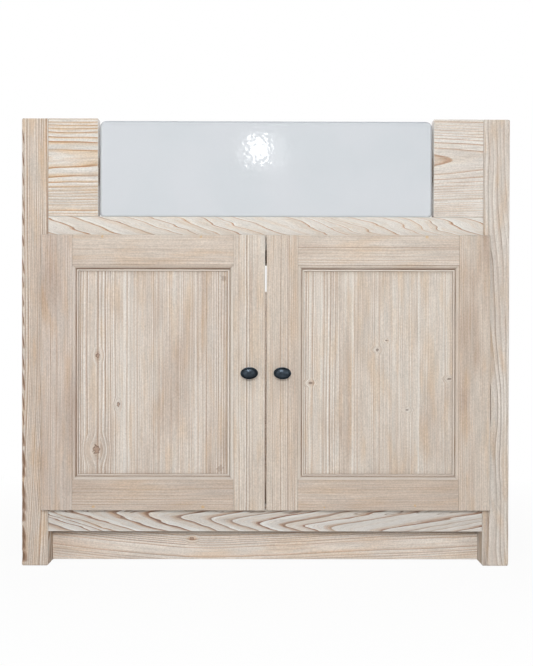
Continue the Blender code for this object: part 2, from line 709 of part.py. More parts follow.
def make_door_frame(word, side, axis_empty):
    """Stiles and rails, moulded and mitred inside, tenoned together and planed as one door."""
    blank_low, blank_high = mirrored(
        side, (DOOR_INNER, DOOR_FRONT, DOOR_FOOT), (DOOR_OUTER, DOOR_BACK, DOOR_HEAD)
    )
    blank_shape = cube(blank_low, blank_high)
    round_edges(blank_shape, blank_shape.edges[:], DOOR_EDGE_RADIUS, EASE_STEPS)
    blank = hide(add(f"{word}_door_blank", blank_shape, middle(blank_low, blank_high), TOOLS))
    near, far = DOOR_FRONT - PLANING, DOOR_BACK + PLANING
    shoulder_inner = DOOR_INNER + STILE_FACE
    shoulder_outer = DOOR_OUTER - STILE_FACE
    across = (shoulder_inner + shoulder_outer) / 2
    foot_line = DOOR_FOOT + RAIL_FACE
    head_line = DOOR_HEAD - RAIL_FACE
    inward = Vector((-side, 0.0, 0.0))
    stile_length = head_line - foot_line
    rail_length = shoulder_outer - shoulder_inner
    foot, head = DOOR_FOOT - PLANING, DOOR_HEAD + PLANING
    stile_rows = {
        "hinge_stile": (shoulder_outer, DOOR_OUTER + PLANING, shoulder_outer, inward),
        "meeting_stile": (DOOR_INNER - PLANING, shoulder_inner, shoulder_inner, -inward),
    }
    stiles = {}
    for name, (low_x, high_x, edge, way) in stile_rows.items():
        stile = member(f"{word}_door_{name}", side, (low_x, near, foot), (high_x, far, head), axis_empty)
        place = (side * edge, DOOR_FRONT, DOOR_MIDDLE)
        strip = sticking_tool(f"{stile.name}_moulding", place, Vector((0, 0, 1)), way, stile_length)
        combine(stile, strip, "UNION")
        combine(stile, blank, "INTERSECT")
        stiles[name] = stile
    up = Vector((0.0, 0.0, 1.0))
    rail_rows = {
        "bottom_rail": (foot, foot_line, foot_line, up, DOOR_FOOT),
        "top_rail": (head_line, head, head_line, -up, head_line),
    }
    tenon_near = DOOR_FRONT + PANEL_FACE_DEPTH
    for name, (low_z, high_z, edge, way, tenon_base) in rail_rows.items():
        low = (shoulder_inner + FIT, near, low_z)
        high = (shoulder_outer - FIT, far, high_z)
        rail = member(f"{word}_door_{name}", side, low, high, axis_empty)
        place = (side * across, DOOR_FRONT, edge)
        strip = sticking_tool(f"{rail.name}_moulding", place, Vector((1, 0, 0)), way, rail_length)
        combine(rail, strip, "UNION")
        combine(rail, blank, "INTERSECT")
        tenon_foot = tenon_base + DOOR_TENON_SHOULDER
        tenon_head = tenon_base + RAIL_FACE - DOOR_TENON_SHOULDER
        tenon_far = tenon_near + PANEL_THICKNESS
        low = (shoulder_outer, tenon_near, tenon_foot)
        high = (shoulder_outer + DOOR_TENON_LENGTH, tenon_far, tenon_head)
        tenon(rail, stiles["hinge_stile"], *mirrored(side, low, high), 0, side)
        low = (shoulder_inner - DOOR_TENON_LENGTH, tenon_near, tenon_foot)
        high = (shoulder_inner, tenon_far, tenon_head)
        tenon(rail, stiles["meeting_stile"], *mirrored(side, low, high), 0, -side)
    make_door_panel(word, side, axis_empty)
    return stiles


def make_door_panel(word, side, axis_empty):
    """A flat panel that floats in the groove of its frame."""
    lap = STICKING_WIDTH - DOOR_GROOVE_DEPTH + EXPANSION_GAP
    near = DOOR_FRONT + PANEL_FACE_DEPTH
    low = (DOOR_INNER + STILE_FACE + lap, near, DOOR_FOOT + RAIL_FACE + lap)
    high = (DOOR_OUTER - STILE_FACE - lap, near + PANEL_THICKNESS, DOOR_HEAD - RAIL_FACE - lap)
    panel = board(f"{word}_door_panel", *mirrored(side, low, high))
    hang(panel, axis_empty)


def make_knob(word, side, stile, axis_empty):
    """An oval knob with a rim round its dome, and the bolt that holds it from behind the door."""
    half = KNOB_HEIGHT / 2
    dome = half - KNOB_RIM
    rim_top = KNOB_PROJECTION - KNOB_DOME
    rim_foot = rim_top - KNOB_RIM_THICKNESS
    head_profile = []
    for step in range(PROFILE_STEPS + 1):
        angle = step / PROFILE_STEPS * pi / 2
        head_profile.append((dome * sin(angle), rim_top + KNOB_DOME * cos(angle)))
    head_profile += [
        (half, rim_top - KNOB_RIM_THICKNESS / 3),
        (half, rim_foot),
        (half - KNOB_UNDERCUT, rim_foot - KNOB_UNDERCUT),
        (0.0, rim_foot - KNOB_UNDERCUT),
    ]
    place = Vector((side * KNOB_X, DOOR_FRONT, DOOR_MIDDLE))
    knob = turned(f"{word}_door_knob", head_profile, place, PARTS, TURN_STEPS)
    knob.rotation_euler.x = pi / 2
    knob.scale.x = KNOB_WIDTH / KNOB_HEIGHT
    finish(knob, "black_iron")
    stem_profile = [
        (0.0, rim_foot),
        (KNOB_NECK_RADIUS, rim_foot),
        (KNOB_NECK_RADIUS, FIT + 2 * KNOB_FOOT_THICKNESS),
        (KNOB_FOOT_RADIUS, FIT + KNOB_FOOT_THICKNESS),
        (KNOB_FOOT_RADIUS, FIT),
        (0.0, FIT),
    ]
    stem = hide(turned(f"{word}_knob_stem", stem_profile, place, TOOLS, SMALL_TURN_STEPS))
    stem.rotation_euler.x = pi / 2
    combine(knob, stem, "UNION")
    tip = DOOR_THICKNESS + BOLT_ENGAGEMENT
    bolt_profile = [
        (0.0, tip),
        (BOLT_RADIUS, tip),
        (BOLT_RADIUS, -FIT),
        (BOLT_HEAD_RADIUS, -FIT),
        (BOLT_HEAD_RADIUS, -FIT - BOLT_HEAD_THICKNESS),
        (0.0, -FIT - BOLT_HEAD_THICKNESS),
    ]
    seat = place + Vector((0.0, DOOR_THICKNESS, 0.0))
    bolt = turned(f"{word}_knob_bolt", bolt_profile, seat, PARTS, SMALL_TURN_STEPS)
    bolt.rotation_euler.x = pi / 2
    finish(bolt, "nickelled_steel")
    length = tip + FIT + OVERCUT
    drill_place = place + Vector((0.0, DOOR_THICKNESS + OVERCUT - length / 2, 0.0))
    drill_shape = cylinder(BOLT_RADIUS + FIT, length, SMALL_TURN_STEPS)
    drill = hide(add(f"{word}_bolt_hole", drill_shape, drill_place, TOOLS))
    drill.rotation_euler.x = pi / 2
    combine(stile, drill, "DIFFERENCE")
    combine(knob, drill, "DIFFERENCE")
    for piece in (knob, bolt):
        hang(piece, axis_empty)


def make_bumpers(word, side, axis_empty):
    """Soft dots that keep the closed door off the rails."""
    heights = {"upper": DOOR_HEAD - DOOR_TOP_OVERLAY / 2, "lower": DOOR_FOOT + DOOR_OVERLAY / 2}
    thickness = DOOR_STANDOFF - 2 * FIT
    for row, height in heights.items():
        place = (side * (DOOR_INNER + BUMPER_FROM_EDGE), DOOR_BACK + DOOR_STANDOFF / 2, height)
        shape = cylinder(BUMPER_RADIUS, thickness, SMALL_TURN_STEPS)
        bumper = add(f"{word}_{row}_bumper", shape, place, PARTS)
        bumper.rotation_euler.x = pi / 2
        finish(bumper, "clear_rubber")
        hang(bumper, axis_empty)


def upright_tool(name, radius, length, place):
    return hide(add(name, cylinder(radius, length, SMALL_TURN_STEPS), place, TOOLS))


def make_hinge(word, row, side, height, stile, axis_empty):
    """A concealed hinge: a housing let into the door, its pin, and a cranked arm on the post."""
    name = f"{word}_{row}_hinge"
    axis = Vector((side * HINGE_X, HINGE_Y, height))
    make_housing(name, side, height, stile, axis_empty)
    pin_length = EYE_LENGTH + 2 * (FIT + EAR_THICKNESS)
    pin = add(f"{name}_pin", cylinder(PIN_RADIUS, pin_length, SMALL_TURN_STEPS), axis, PARTS)
    finish(pin, "nickelled_steel")
    hang(pin, axis_empty)
    make_arm(name, side, axis)


def make_housing(name, side, height, stile, axis_empty):
    """Housing with round corners, its flange on the door's back, and two ears that hold the pin."""
    outer_x = DOOR_OUTER - HOUSING_FROM_EDGE
    inner_x = outer_x - HOUSING_WIDTH
    half = HOUSING_LENGTH / 2
    floor = DOOR_BACK - HOUSING_DEPTH
    flange_foot = DOOR_BACK + FIT
    low = (inner_x, floor, height - half)
    high = (outer_x, flange_foot + FLANGE_THICKNESS / 2, height + half)
    low, high = mirrored(side, low, high)
    housing = add(f"{name}_housing", rounded_box(low, high, 1, HOUSING_CORNER), middle(low, high), PARTS)
    finish(housing, "nickelled_steel")
    hang(housing, axis_empty)
    pocket_low, pocket_high = stretched(*grown(low, high, FIT), 1, 1, OVERCUT)
    pocket_shape = rounded_box(pocket_low, pocket_high, 1, HOUSING_CORNER + FIT)
    pocket = hide(add(f"{name}_pocket", pocket_shape, middle(pocket_low, pocket_high), TOOLS))
    combine(stile, pocket, "DIFFERENCE")
    flange_low = (outer_x - FLANGE_WIDTH, flange_foot, height - FLANGE_LENGTH / 2)
    flange_high = (outer_x, flange_foot + FLANGE_THICKNESS, height + FLANGE_LENGTH / 2)
    flange_low, flange_high = mirrored(side, flange_low, flange_high)
    flange_shape = rounded_box(flange_low, flange_high, 1, HOUSING_CORNER)
    flange = hide(add(f"{name}_flange", flange_shape, middle(flange_low, flange_high), TOOLS))
    combine(housing, flange, "UNION")
    hollow_low, hollow_high = stretched(*grown(low, high, -HOUSING_WALL), 1, 1, 2 * OVERCUT)
    hollow_shape = rounded_box(hollow_low, hollow_high, 1, HOUSING_CORNER - HOUSING_WALL)
    hollow = hide(add(f"{name}_hollow", hollow_shape, middle(hollow_low, hollow_high), TOOLS))
    combine(housing, hollow, "DIFFERENCE")
    reach = PIN_RADIUS + PIN_CLEARANCE + EAR_WALL
    for direction in (-1, 1):
        start = height + direction * (EYE_LENGTH / 2 + FIT)
        foot, head = sorted((start, start + direction * EAR_THICKNESS))
        ear_low = (HINGE_X - reach, floor + HOUSING_WALL / 2, foot)
        ear_high = (outer_x - HOUSING_WALL / 2, HINGE_Y + reach, head)
        ear = box_tool(f"{name}_ear", *mirrored(side, ear_low, ear_high))
        combine(housing, ear, "UNION")
    length = EYE_LENGTH + 2 * (EAR_THICKNESS + OVERCUT)
    place = (side * HINGE_X, HINGE_Y, height)
    combine(housing, upright_tool(f"{name}_ear_bore", PIN_RADIUS + PIN_CLEARANCE, length, place), "DIFFERENCE")


def make_arm(name, side, axis):
    """A strip bent round the edge of the post, with an eye for the pin and a plate on the post."""
    plate_face = HINGE_X - POST_INNER + FIT
    plate_line = plate_face + PLATE_THICKNESS / 2
    bend = FRONT + ARM_STRAIGHT - HINGE_Y
    plate_start = bend + ARM_CRANK
    path = [
        (0.0, 0.0),
        (ARM_REACH, 0.0),
        (ARM_REACH, bend),
        (plate_line, plate_start),
        (plate_line, plate_start + ARM_LAP),
    ]
    shape = bmesh.new()
    points = [shape.verts.new((-side * inward, back, -ARM_HEIGHT / 2)) for inward, back in path]
    edges = [shape.edges.new(pair) for pair in zip(points, points[1:])]
    raised = bmesh.ops.extrude_edge_only(shape, edges=edges)["geom"]
    upper = [item for item in raised if isinstance(item, bmesh.types.BMVert)]
    bmesh.ops.translate(shape, vec=(0.0, 0.0, ARM_HEIGHT), verts=upper)
    arm = add(f"{name}_arm", shape, axis, PARTS)
    finish(arm, "nickelled_steel")
    sheet = arm.modifiers.new("Sheet", "SOLIDIFY")
    sheet.thickness = ARM_THICKNESS
    sheet.offset = 0.0
    sheet.use_even_offset = True
    eye_radius = PIN_RADIUS + PIN_CLEARANCE + EYE_WALL
    combine(arm, upright_tool(f"{name}_eye", eye_radius, EYE_LENGTH, axis), "UNION")
    low = (POST_INNER - FIT - PLATE_THICKNESS, axis.y + plate_start, axis.z - PLATE_HEIGHT / 2)
    high = (POST_INNER - FIT, axis.y + plate_start + PLATE_LENGTH, axis.z + PLATE_HEIGHT / 2)
    low, high = mirrored(side, low, high)
    plate = hide(add(f"{name}_plate", cube(low, high), middle(low, high), TOOLS))
    combine(arm, plate, "UNION")
    bore = upright_tool(f"{name}_eye_bore", PIN_RADIUS + PIN_CLEARANCE, EYE_LENGTH + 2 * OVERCUT, axis)
    combine(arm, bore, "DIFFERENCE")


def make_doors():
    hinge_rows = {"upper": DOOR_HEAD - HINGE_FROM_END, "lower": DOOR_FOOT + HINGE_FROM_END}
    for word, side in SIDES.items():
        axis_empty = make_axis(word, side)
        stiles = make_door_frame(word, side, axis_empty)
        make_knob(word, side, stiles["meeting_stile"], axis_empty)
        make_bumpers(word, side, axis_empty)
        for row, height in hinge_rows.items():
            make_hinge(word, row, side, height, stiles["hinge_stile"], axis_empty)


def main():
    front_posts, rear_posts = make_posts()
    sink_rail = make_front_frame(front_posts)
    make_sides(front_posts, rear_posts)
    back_sink_rail = make_back(rear_posts)
    make_floor()
    make_bearers(sink_rail, back_sink_rail)
    make_sink()
    make_waste()
    make_doors()


clear_scene()
PARTS = collection("sink_base_cabinet")
TOOLS = collection("cutters")
main()
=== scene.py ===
import math
import random
from functools import partial

import bmesh
import bpy
from mathutils import Matrix, Vector


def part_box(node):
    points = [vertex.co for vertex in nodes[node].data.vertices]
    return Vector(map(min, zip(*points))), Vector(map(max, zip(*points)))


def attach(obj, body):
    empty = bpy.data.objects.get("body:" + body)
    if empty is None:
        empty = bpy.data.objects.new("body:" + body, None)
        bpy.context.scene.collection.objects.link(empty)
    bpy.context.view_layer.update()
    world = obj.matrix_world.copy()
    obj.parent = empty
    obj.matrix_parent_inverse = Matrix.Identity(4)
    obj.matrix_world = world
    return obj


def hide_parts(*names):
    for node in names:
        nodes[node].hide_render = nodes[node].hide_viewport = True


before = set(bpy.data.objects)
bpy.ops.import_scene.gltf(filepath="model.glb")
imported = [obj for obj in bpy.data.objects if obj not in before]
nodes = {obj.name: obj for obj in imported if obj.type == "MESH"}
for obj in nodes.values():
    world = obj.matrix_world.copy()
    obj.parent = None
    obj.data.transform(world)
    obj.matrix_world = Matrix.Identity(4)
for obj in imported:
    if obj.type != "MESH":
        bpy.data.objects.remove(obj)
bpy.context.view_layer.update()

scene = bpy.context.scene
mm = 0.001
print("frame loaded:", len(nodes), "parts")


def toLinear(hexText):
    parts = [int(hexText[i:i + 2], 16) / 255 for i in (1, 3, 5)]
    return [p / 12.92 if p <= 0.04045 else ((p + 0.055) / 1.055) ** 2.4 for p in parts] + [1.0]


# "Math.ADD" is a Math node set to add. Inputs go by name, or in their order as a list, and each may be a value,
# a socket, or a node, whose first live output is then taken
def addNode(tree, kind, inputs=(), stops=None, **settings):
    kind, *operation = kind.split(".")
    node = tree.nodes.new("ShaderNode" + kind)
    if operation:
        node.operation = operation[0]
    for name, value in settings.items():
        setattr(node, name, value)
    for key, value in inputs.items() if isinstance(inputs, dict) else enumerate(inputs):
        if isinstance(value, bpy.types.Node):
            value = next(out for out in value.outputs if out.enabled)
        if isinstance(value, bpy.types.NodeSocket):
            tree.links.new(value, node.inputs[key])
        else:
            node.inputs[key].default_value = value
    if stops:
        ramp = node.color_ramp
        ramp.elements[0].position, ramp.elements[1].position = stops[0][0], stops[-1][0]
        ramp.elements[0].color, ramp.elements[1].color = stops[0][1], stops[-1][1]
        for place, colour in stops[1:-1]:
            ramp.elements.new(place).color = colour
    return node


# a material, the call that adds a node to it, and the place on the resting object
def newMaterial(name):
    material = bpy.data.materials.new(name)
    material.use_nodes = True
    material.node_tree.nodes.clear()
    add = partial(addNode, material.node_tree)
    return material, add, add("TexCoord").outputs["Object"]


def dress(piece, material):
    piece.data.materials.clear()
    piece.data.materials.append(material)
    for face in piece.data.polygons:
        face.material_index = 0


def makePiece(name, shape, smoothAngle=None):
    mesh = bpy.data.meshes.new(name)
    shape.to_mesh(mesh)
    shape.free()
    piece = bpy.data.objects.new(name, mesh)
    scene.collection.objects.link(piece)
    if smoothAngle is not None:
        mesh.shade_smooth()
        mesh.set_sharp_from_angle(angle=math.radians(smoothAngle))
    return piece


# camera: fitted to the posts, the sink and the plinth of the photograph
view = {
    "place": (-0.0112, -2.577, 0.480),
    "yaw": 0.313,  # degrees to the right
    "pitch": 0.514,  # degrees down
    "roll": 0.115,
    "lens": 63.53,  # mm, on a sensor of the width below across the long side
    "sensor": 36,
    "clip": (0.05, 60),  # metres
}


def setCamera(v):
    data = bpy.data.cameras.new("camera")
    data.sensor_fit = "AUTO"
    data.sensor_width = v["sensor"]
    data.lens = v["lens"]
    data.clip_start, data.clip_end = v["clip"]
    camera = bpy.data.objects.new("camera", data)
    scene.collection.objects.link(camera)
    tilt = Matrix.Rotation(math.radians(-v["yaw"]), 4, "Z")
    tilt = tilt @ Matrix.Rotation(math.radians(90 - v["pitch"]), 4, "X")
    tilt = tilt @ Matrix.Rotation(math.radians(v["roll"]), 4, "Z")
    camera.matrix_world = Matrix.Translation(v["place"]) @ tilt
    scene.camera = camera


setCamera(view)
print("camera set")

# light: an even room, soft lamps in front, others that reach only the sides, the back, the top and the
# inside, so that the object has one level all round, and two small ones that the glaze mirrors
studio = {
    "room": 0.20,
    "floor": "#f4f4f2",
    "floorReach": 14,  # metres to each side
    "floorDrop": 0.4,  # mm under the feet
    "shadowShare": 0.05,  # how much of the floor's own shade the camera sees
    "shadowReach": (0.55, 1.3),  # metres from the middle, over which that fades out
    "lamps": [
        # name, place, aim, width, height, watts
        ("keyLamp", (-0.05, -2.9, 0.98), (0.0, -0.25, 0.45), 0.7, 0.4, 31),
        ("topLamp", (-0.35, -2.2, 2.9), (0.0, -0.2, 0.5), 1.0, 0.55, 14),
        ("ironLamp", (-0.35, -2.0, 2.6), (0.0, -0.3, 0.36), 0.9, 0.5, 50),
        ("leftLamp", (-2.3, -2.9, 0.85), (0.0, -0.2, 0.40), 1.2, 1.4, 11),
        ("rightLamp", (2.3, -2.9, 0.85), (0.0, -0.2, 0.40), 1.2, 1.4, 11),
        ("leftSideLamp", (-2.7, 0.9, 1.0), (-0.48, 0.3, 0.45), 1.2, 1.2, 33),
        ("rightSideLamp", (2.7, 0.9, 1.0), (0.48, 0.3, 0.45), 1.2, 1.2, 33),
        ("backLamp", (0.0, 3.2, 1.0), (0.0, 0.62, 0.5), 1.6, 1.2, 47),
        ("overLamp", (0.0, 0.45, 3.0), (0.0, 0.3, 0.8), 1.4, 0.8, 27),
        ("insideLamp", (0.0, -0.08, 0.57), (0.0, 0.27, 0.57), 0.7, 0.05, 1.05),
        ("glazeLamp", (-0.016, -2.55, 1.160), (0.0, -0.26, 0.83), 0.084, 0.100, 0.19),
        ("glowLamp", (0.0, -2.56, 1.156), (0.0, -0.26, 0.83), 0.20, 0.17, 0.15),
    ],
    "oval": ("glazeLamp", "glowLamp"),
    "mirrored": ("leftLamp", "rightLamp", "ironLamp", "glazeLamp", "glowLamp"),  # lamps that gloss shows
    "knobsOnly": ("ironLamp",),
    # lamps that the floor is kept from
    "roundabout": ("leftSideLamp", "rightSideLamp", "backLamp", "overLamp", "insideLamp"),
}
ironwork = bpy.data.collections.new("ironwork")
allButFloor = bpy.data.collections.new("allButFloor")


# 1 where a thing is seen directly, mirrored or through something clear
def seenByEye(add):
    path = add("LightPath")
    seen = path.outputs["Is Camera Ray"]
    for ray in ("Is Glossy Ray", "Is Transmission Ray"):
        seen = add("Math.MAXIMUM", [seen, path.outputs[ray]])
    return seen


def setRoom(s):
    world = bpy.data.worlds.new("room")
    scene.world = world
    world.use_nodes = True
    world.node_tree.nodes.clear()
    add = partial(addNode, world.node_tree)
    level = add("MapRange", [seenByEye(add), 0, 1, s["room"], 1.0])
    sky = add("Background", {"Color": (1, 1, 1, 1), "Strength": level})
    add("OutputWorld", [sky])


def setLamps(s):
    for name, place, aim, width, height, watts in s["lamps"]:
        data = bpy.data.lights.new(name, "AREA")
        data.shape = "ELLIPSE" if name in s["oval"] else "RECTANGLE"
        data.size, data.size_y = width, height
        data.energy = watts
        lamp = bpy.data.objects.new(name, data)
        lamp.location = place
        lamp.rotation_euler = (Vector(aim) - Vector(place)).to_track_quat("-Z", "Y").to_euler()
        lamp.visible_camera = False
        lamp.visible_glossy = name in s["mirrored"]
        if name in s["knobsOnly"]:
            lamp.visible_diffuse = False
            lamp.light_linking.receiver_collection = ironwork
        if name in s["roundabout"]:
            lamp.light_linking.receiver_collection = allButFloor
        scene.collection.objects.link(lamp)


def layFloor(s):
    shape = bmesh.new()
    bmesh.ops.create_grid(shape, x_segments=2, y_segments=2, size=s["floorReach"])
    bmesh.ops.translate(shape, verts=shape.verts, vec=(0, 0, -s["floorDrop"] * mm))
    floor = makePiece("studioFloor", shape)
    material, add, place = newMaterial("matt white floor")  # shows white, with a trace of the shadow
    paint = add("BsdfDiffuse", {"Color": toLinear(s["floor"])})
    glow = add("Emission", {"Color": (1, 1, 1, 1), "Strength": 1.0})
    away = add("VectorMath.LENGTH", [place])
    share = add("MapRange", [away, *s["shadowReach"], 1 - s["shadowShare"], 1.0])
    share = add("Math.MULTIPLY", [seenByEye(add), share])
    both = add("MixShader", [share, paint, glow])
    add("OutputMaterial", [both])
    dress(floor, material)
    allButFloor.objects.link(floor)
    allButFloor.collection_objects[0].light_linking.link_state = "EXCLUDE"


setRoom(studio)
setLamps(studio)
layFloor(studio)
scene.view_settings.view_transform = "Standard"
print("studio lit")

# limed pine: sawn, brushed and rubbed with white, so soft early wood is pale and a little sunk,
# and each year's late wood stands as a pink-brown line with one sharp side
pine = {
    "pale": "#d9cdc1",
    "tan": "#c5ad9a",
    "brown": "#9c7d69",
    "lime": "#e6ded5",
    "shade": "#b8a18f",
    # grime, also used as painted shade in the mouldings and as painted shadow lines under the doors and the bottom
    # rail
    "grime": "#7f6552",
    "honey": "#d3b492",
    "ash": "#c6beb5",
    "tint": (1.0, 1.0, 1.0),  # darkens or lightens the whole board
    "drift": 0.30,  # how far patches go over to honey or to ash
    "speck": 0.10,  # fine mottling left by the brush
    "streak": 1.0,  # long streaks of lime and of shade
    "aged": 0.45,  # how far broad patches darken
    "ring": 5.2,  # mm between years, drawn a little coarse so that it shows
    "reach": 150,  # mm from the heart of the log
    "late": (0.42, 0.76, 0.90),  # where in the year the late wood begins, thickens and is darkest
    "contrast": 0.85,
    "even": 0.2,  # how strong the faintest year still is
    "moods": (0.35, 1.25),  # faint and strong runs of years
    "phase": 0.0,  # years by which the lines are moved towards the heart
    "wave": (4.0, 55, 420),  # mm of sway, and its size across and along the grain
    "ripple": (0.7, 11, 70),
    "bend": None,  # grain that sweeps across the board: mm along, height of the middle, mm of half height
    "arrow": None,  # years that come to a point: where, the way they point, across it, slope, mm of rounding
    "run": 0.0,  # how far those years run along the board for each mm behind its face
    "strips": None,  # boards glued edge to edge: where each begins, and its tone
    "knots": (),
    "pins": (),  # filled nail holes
    "stains": (),
    "marks": (),  # long single lines: place across, mm wide, colour, strength
    "mould": None,  # moulded edge: its axis and side, dust and painted shade in its hollows, lime and painted highlight on its ovolo
    "shadow": 0.0,  # painted shade: brown that deepens down the ovolo
    "stain": 0.0,  # brown left along the rim of a panel
    "hollows": False,  # whether the board has hewn hollows
    "sealed": None,  # roughness of side faces varnished against splashes
    "wear": 0.35,  # lime rubbed onto the arrises
    "lift": 0.25,  # mm that the late wood stands proud
    "seed": 0.0,
}
hueNames = ("pale", "tan", "brown", "lime", "shade", "grime", "honey", "ash")
# what all boards share
grain = {
    # mm across and along the grain
    "layers": {"fibre": (1.1, 46), "streak": (3.0, 260), "tone": (60, 230), "drift": (17, 95), "speck": (2.3, 3.4)},
    "usual": (0.3, 0.7),  # between which noise mostly lies
    "spell": (0.16, 5.0),  # runs of close years: how soon they change, and by how many years
    "mood": (0.09, 0.35, 0.65),  # runs of strong years: how soon they change, and their noise from and to
    "chance": 1.6,  # how rare a strong year is
    "strongest": 1.1,
    "rise": (0.03, 0.36, 0.95),  # late wood where it begins, thickens and ends
    "patch": (1.2, 0.75),  # how strong lines are in pale and in dark patches
    "agedIn": (0.42, 0.72),
    "stripJump": (0.09, 0, 2.0),  # metres in the log from one strip to the next
    "stripTone": 0.28,
    "streaks": ((0.55, 0.74, 0.45, "lime"), (0.44, 0.28, 0.40, "shade")),  # from, to, most, colour
    "drifts": ((0, "honey"), (2, "ash")),  # channel of the noise, colour
    "driftIn": (0.46, 0.72),
    "markEdge": (0.8, 0.2),  # shares of a mark's width over which it comes in
    "pores": (0.88, 1.09),
    "arris": (-3, 0.8, -1.2),  # mm of raggedness, and from and to where lime is rubbed on
    "rim": (-24, 8, -4),  # the same for a panel's stained rim
    "coat": (0.6, 0.2),  # mm from a side face over which its varnish comes in
    "skin": ((0.32, 0.62, 0.75, "brown"), (0.72, 0.95, 0.9, "grime")),  # in hewn hollows: from, to, most, colour
    "skinFibre": 0.5,
    "fibreRelief": 0.35,
    "bump": 0.6,
    "gloss": (0.76, 0.58),  # roughness of early and of late wood
    "oil": {"IOR": 1.45, "Specular IOR Level": 0.3},
}
knotLook = {
    "core": "#a98f7e", "rim": "#66493a", "dark": "#5c453a", "pin": "#d3ab68",
    "small": 3.0,  # mm up to which a knot is a dark dash across the grain
    "drawn": (1.3, 1.9),  # how much longer a knot is along the grain, and a dash across it
    "pull": 0.85,  # how far the grain parts round a knot
    "parting": (0.8, 4.5),  # knots' sizes over which that fades out
    "grit": 5.0, "ragged": 2.4,  # mm of the noise that breaks the outline, and its force
    "outline": (2.35, 1.95),
    "rimIn": (1.70, 2.0),
    "force": {"knot": 0.85, "dash": 0.62, "pin": 0.5, "stain": 0.4},
}
# lime on the ovolo and the bead, partly painted highlight; painted shade down a top rail's ovolo; wax and dust in
# the quirk, the fillet and along the panel, partly painted shade
moulding = {
    "wide": 14,
    # lime on the bead, partly painted highlight
    "bead": 0.9,
    "patchy": (0.35, 0.65, 0.55, 1.1),  # noise from and to, and its effect from and to
    "rows": (  # force, colour, and shares at so many mm from the inner edge
        # painted shade down the ovolo
        ("shadow", "grime", ((0.0, 0), (3.2, 0), (4.0, 1), (6.0, 0.9), (8.5, 0.5), (11.4, 0.2), (12.4, 0))),
        ("ovolo", "lime", ((0.0, 0), (5.6, 0), (6.4, 1), (10.6, 0.9), (11.6, 0))),
        ("bead", "lime", ((0.0, 0), (1.0, 0), (1.5, 1), (2.9, 1), (3.4, 0))),
        # dust in the quirk, the fillet and the panel joint, partly painted shade
        ("dust", "grime", ((0.0, 0.6), (0.5, 0.6), (1.0, 0), (3.2, 0), (3.9, 1), (5.1, 1), (5.9, 0.1), (11.4, 0),
                           (11.8, 0.7), (12.3, 0.7), (12.7, 0)))),
}


def grey(level):
    return [level, level, level, 1.0]


# a colour laid over another where a value goes from start to stop, by the most given
def layOver(add, under, colour, value, start, stop, most, ease="SMOOTHSTEP"):
    share = add("MapRange", [value, start, stop, 0, most], interpolation_type=ease)
    return add("Mix", {0: share, 6: under, 7: colour}, data_type="RGBA")


# noise in cells of so many mm across and along the grain
def grainNoise(add, place, wide, long, detail):
    scale = (1 / (wide * mm), 1 / (wide * mm), 1 / (long * mm))
    cells = add("VectorMath.MULTIPLY", [place, scale])
    return add("TexNoise", {"Vector": cells, "Scale": 1.0, "Detail": detail})


# the board's settings with its box, the way its log lies and its colours
def sizeUp(node, board):
    b = {**pine, **board}
    low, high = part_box(node)
    middle, half = (low + high) / 2, (high - low) / 2
    sizes = list(half)
    longest, thinnest = sizes.index(max(sizes)), sizes.index(min(sizes))
    side = 3 - longest - thinnest
    axis = Vector(b.get("axis", [float(i == longest) for i in range(3)])).normalized()
    radial = Vector(b.get("radial", [float(i == side) for i in range(3)]))
    radial = (radial - axis * radial.dot(axis)).normalized()
    b.update(low=low, high=high, middle=middle, half=half, longest=longest, thinnest=thinnest, side=side)
    b["heart"] = Vector(b.get("start", middle)) - radial * b["reach"] * mm
    b["lie"] = Matrix((radial, axis.cross(radial), axis)).transposed().to_euler()
    b["hue"] = {name: [c * t for c, t in zip(toLinear(b[name]), b["tint"])] + [1.0] for name in hueNames}
    return b


# how far away each knot, pin hole and stain is, in its own size, and the place moved so that grain parts round knots
def findSpots(add, rest, b):
    place, spots = rest, []
    for kind, rows in (("knot", b["knots"]), ("pin", b["pins"]), ("stain", b["stains"])):
        for spot, size in rows:
            small = size <= knotLook["small"]
            reach = [1 / (size * mm)] * 3
            if kind == "knot":
                reach[b["side" if small else "longest"]] /= knotLook["drawn"][small]
            reach[b["thinnest"]] = 0.0
            away = add("VectorMath.SUBTRACT", [rest, spot])
            span = add("VectorMath.MULTIPLY", [away, reach])
            span = add("VectorMath.LENGTH", [span])
            spots.append((kind, span, small))
            if kind == "knot":
                pull = add("MapRange", [span, *knotLook["parting"], knotLook["pull"], 0.0],
                           interpolation_type="SMOOTHSTEP")
                shift = add("VectorMath.SCALE", {0: away, "Scale": pull})
                place = add("VectorMath.SUBTRACT", [place, shift])
    return place, spots


def bendGrain(add, place, b):
    if b["bend"]:
        sweep, level, reach = b["bend"]
        up = add("SeparateXYZ", [place]).outputs[2]
        up = add("MapRange", [up, level - reach * mm, level + reach * mm, -0.97, 0.97])  # never quite upright
        up = add("Math.ARCSINE", [up])
        shift = add("VectorMath.SCALE", {0: (sweep * mm, 0, 0), "Scale": up})
        place = add("VectorMath.ADD", [place, shift])
    if b["arrow"]:
        tip, along, across, slope, blunt = b["arrow"]
        away = add("VectorMath.SUBTRACT", [place, tip])
        off = add("VectorMath.DOT_PRODUCT", [away, [slope * part for part in across]])
        off = add("Math.MULTIPLY_ADD", [off, off, (blunt * mm) ** 2])
        off = add("Math.SQRT", [off])
        deep = add("VectorMath.DOT_PRODUCT", [away, (0, b["run"], 0)])
        off = add("Math.ADD", [off, deep])
        shift = add("VectorMath.SCALE", {0: [-part for part in along], "Scale": off})
        place = add("VectorMath.ADD", [place, shift])
    return place


# noise that changes from year to year, the sooner the larger the rate
def yearNoise(add, years, rate):
    pace = add("Math.MULTIPLY", [years, rate])
    return add("TexNoise", {"W": pace, "Scale": 1.0, "Detail": 1.0}, noise_dimensions="1D")


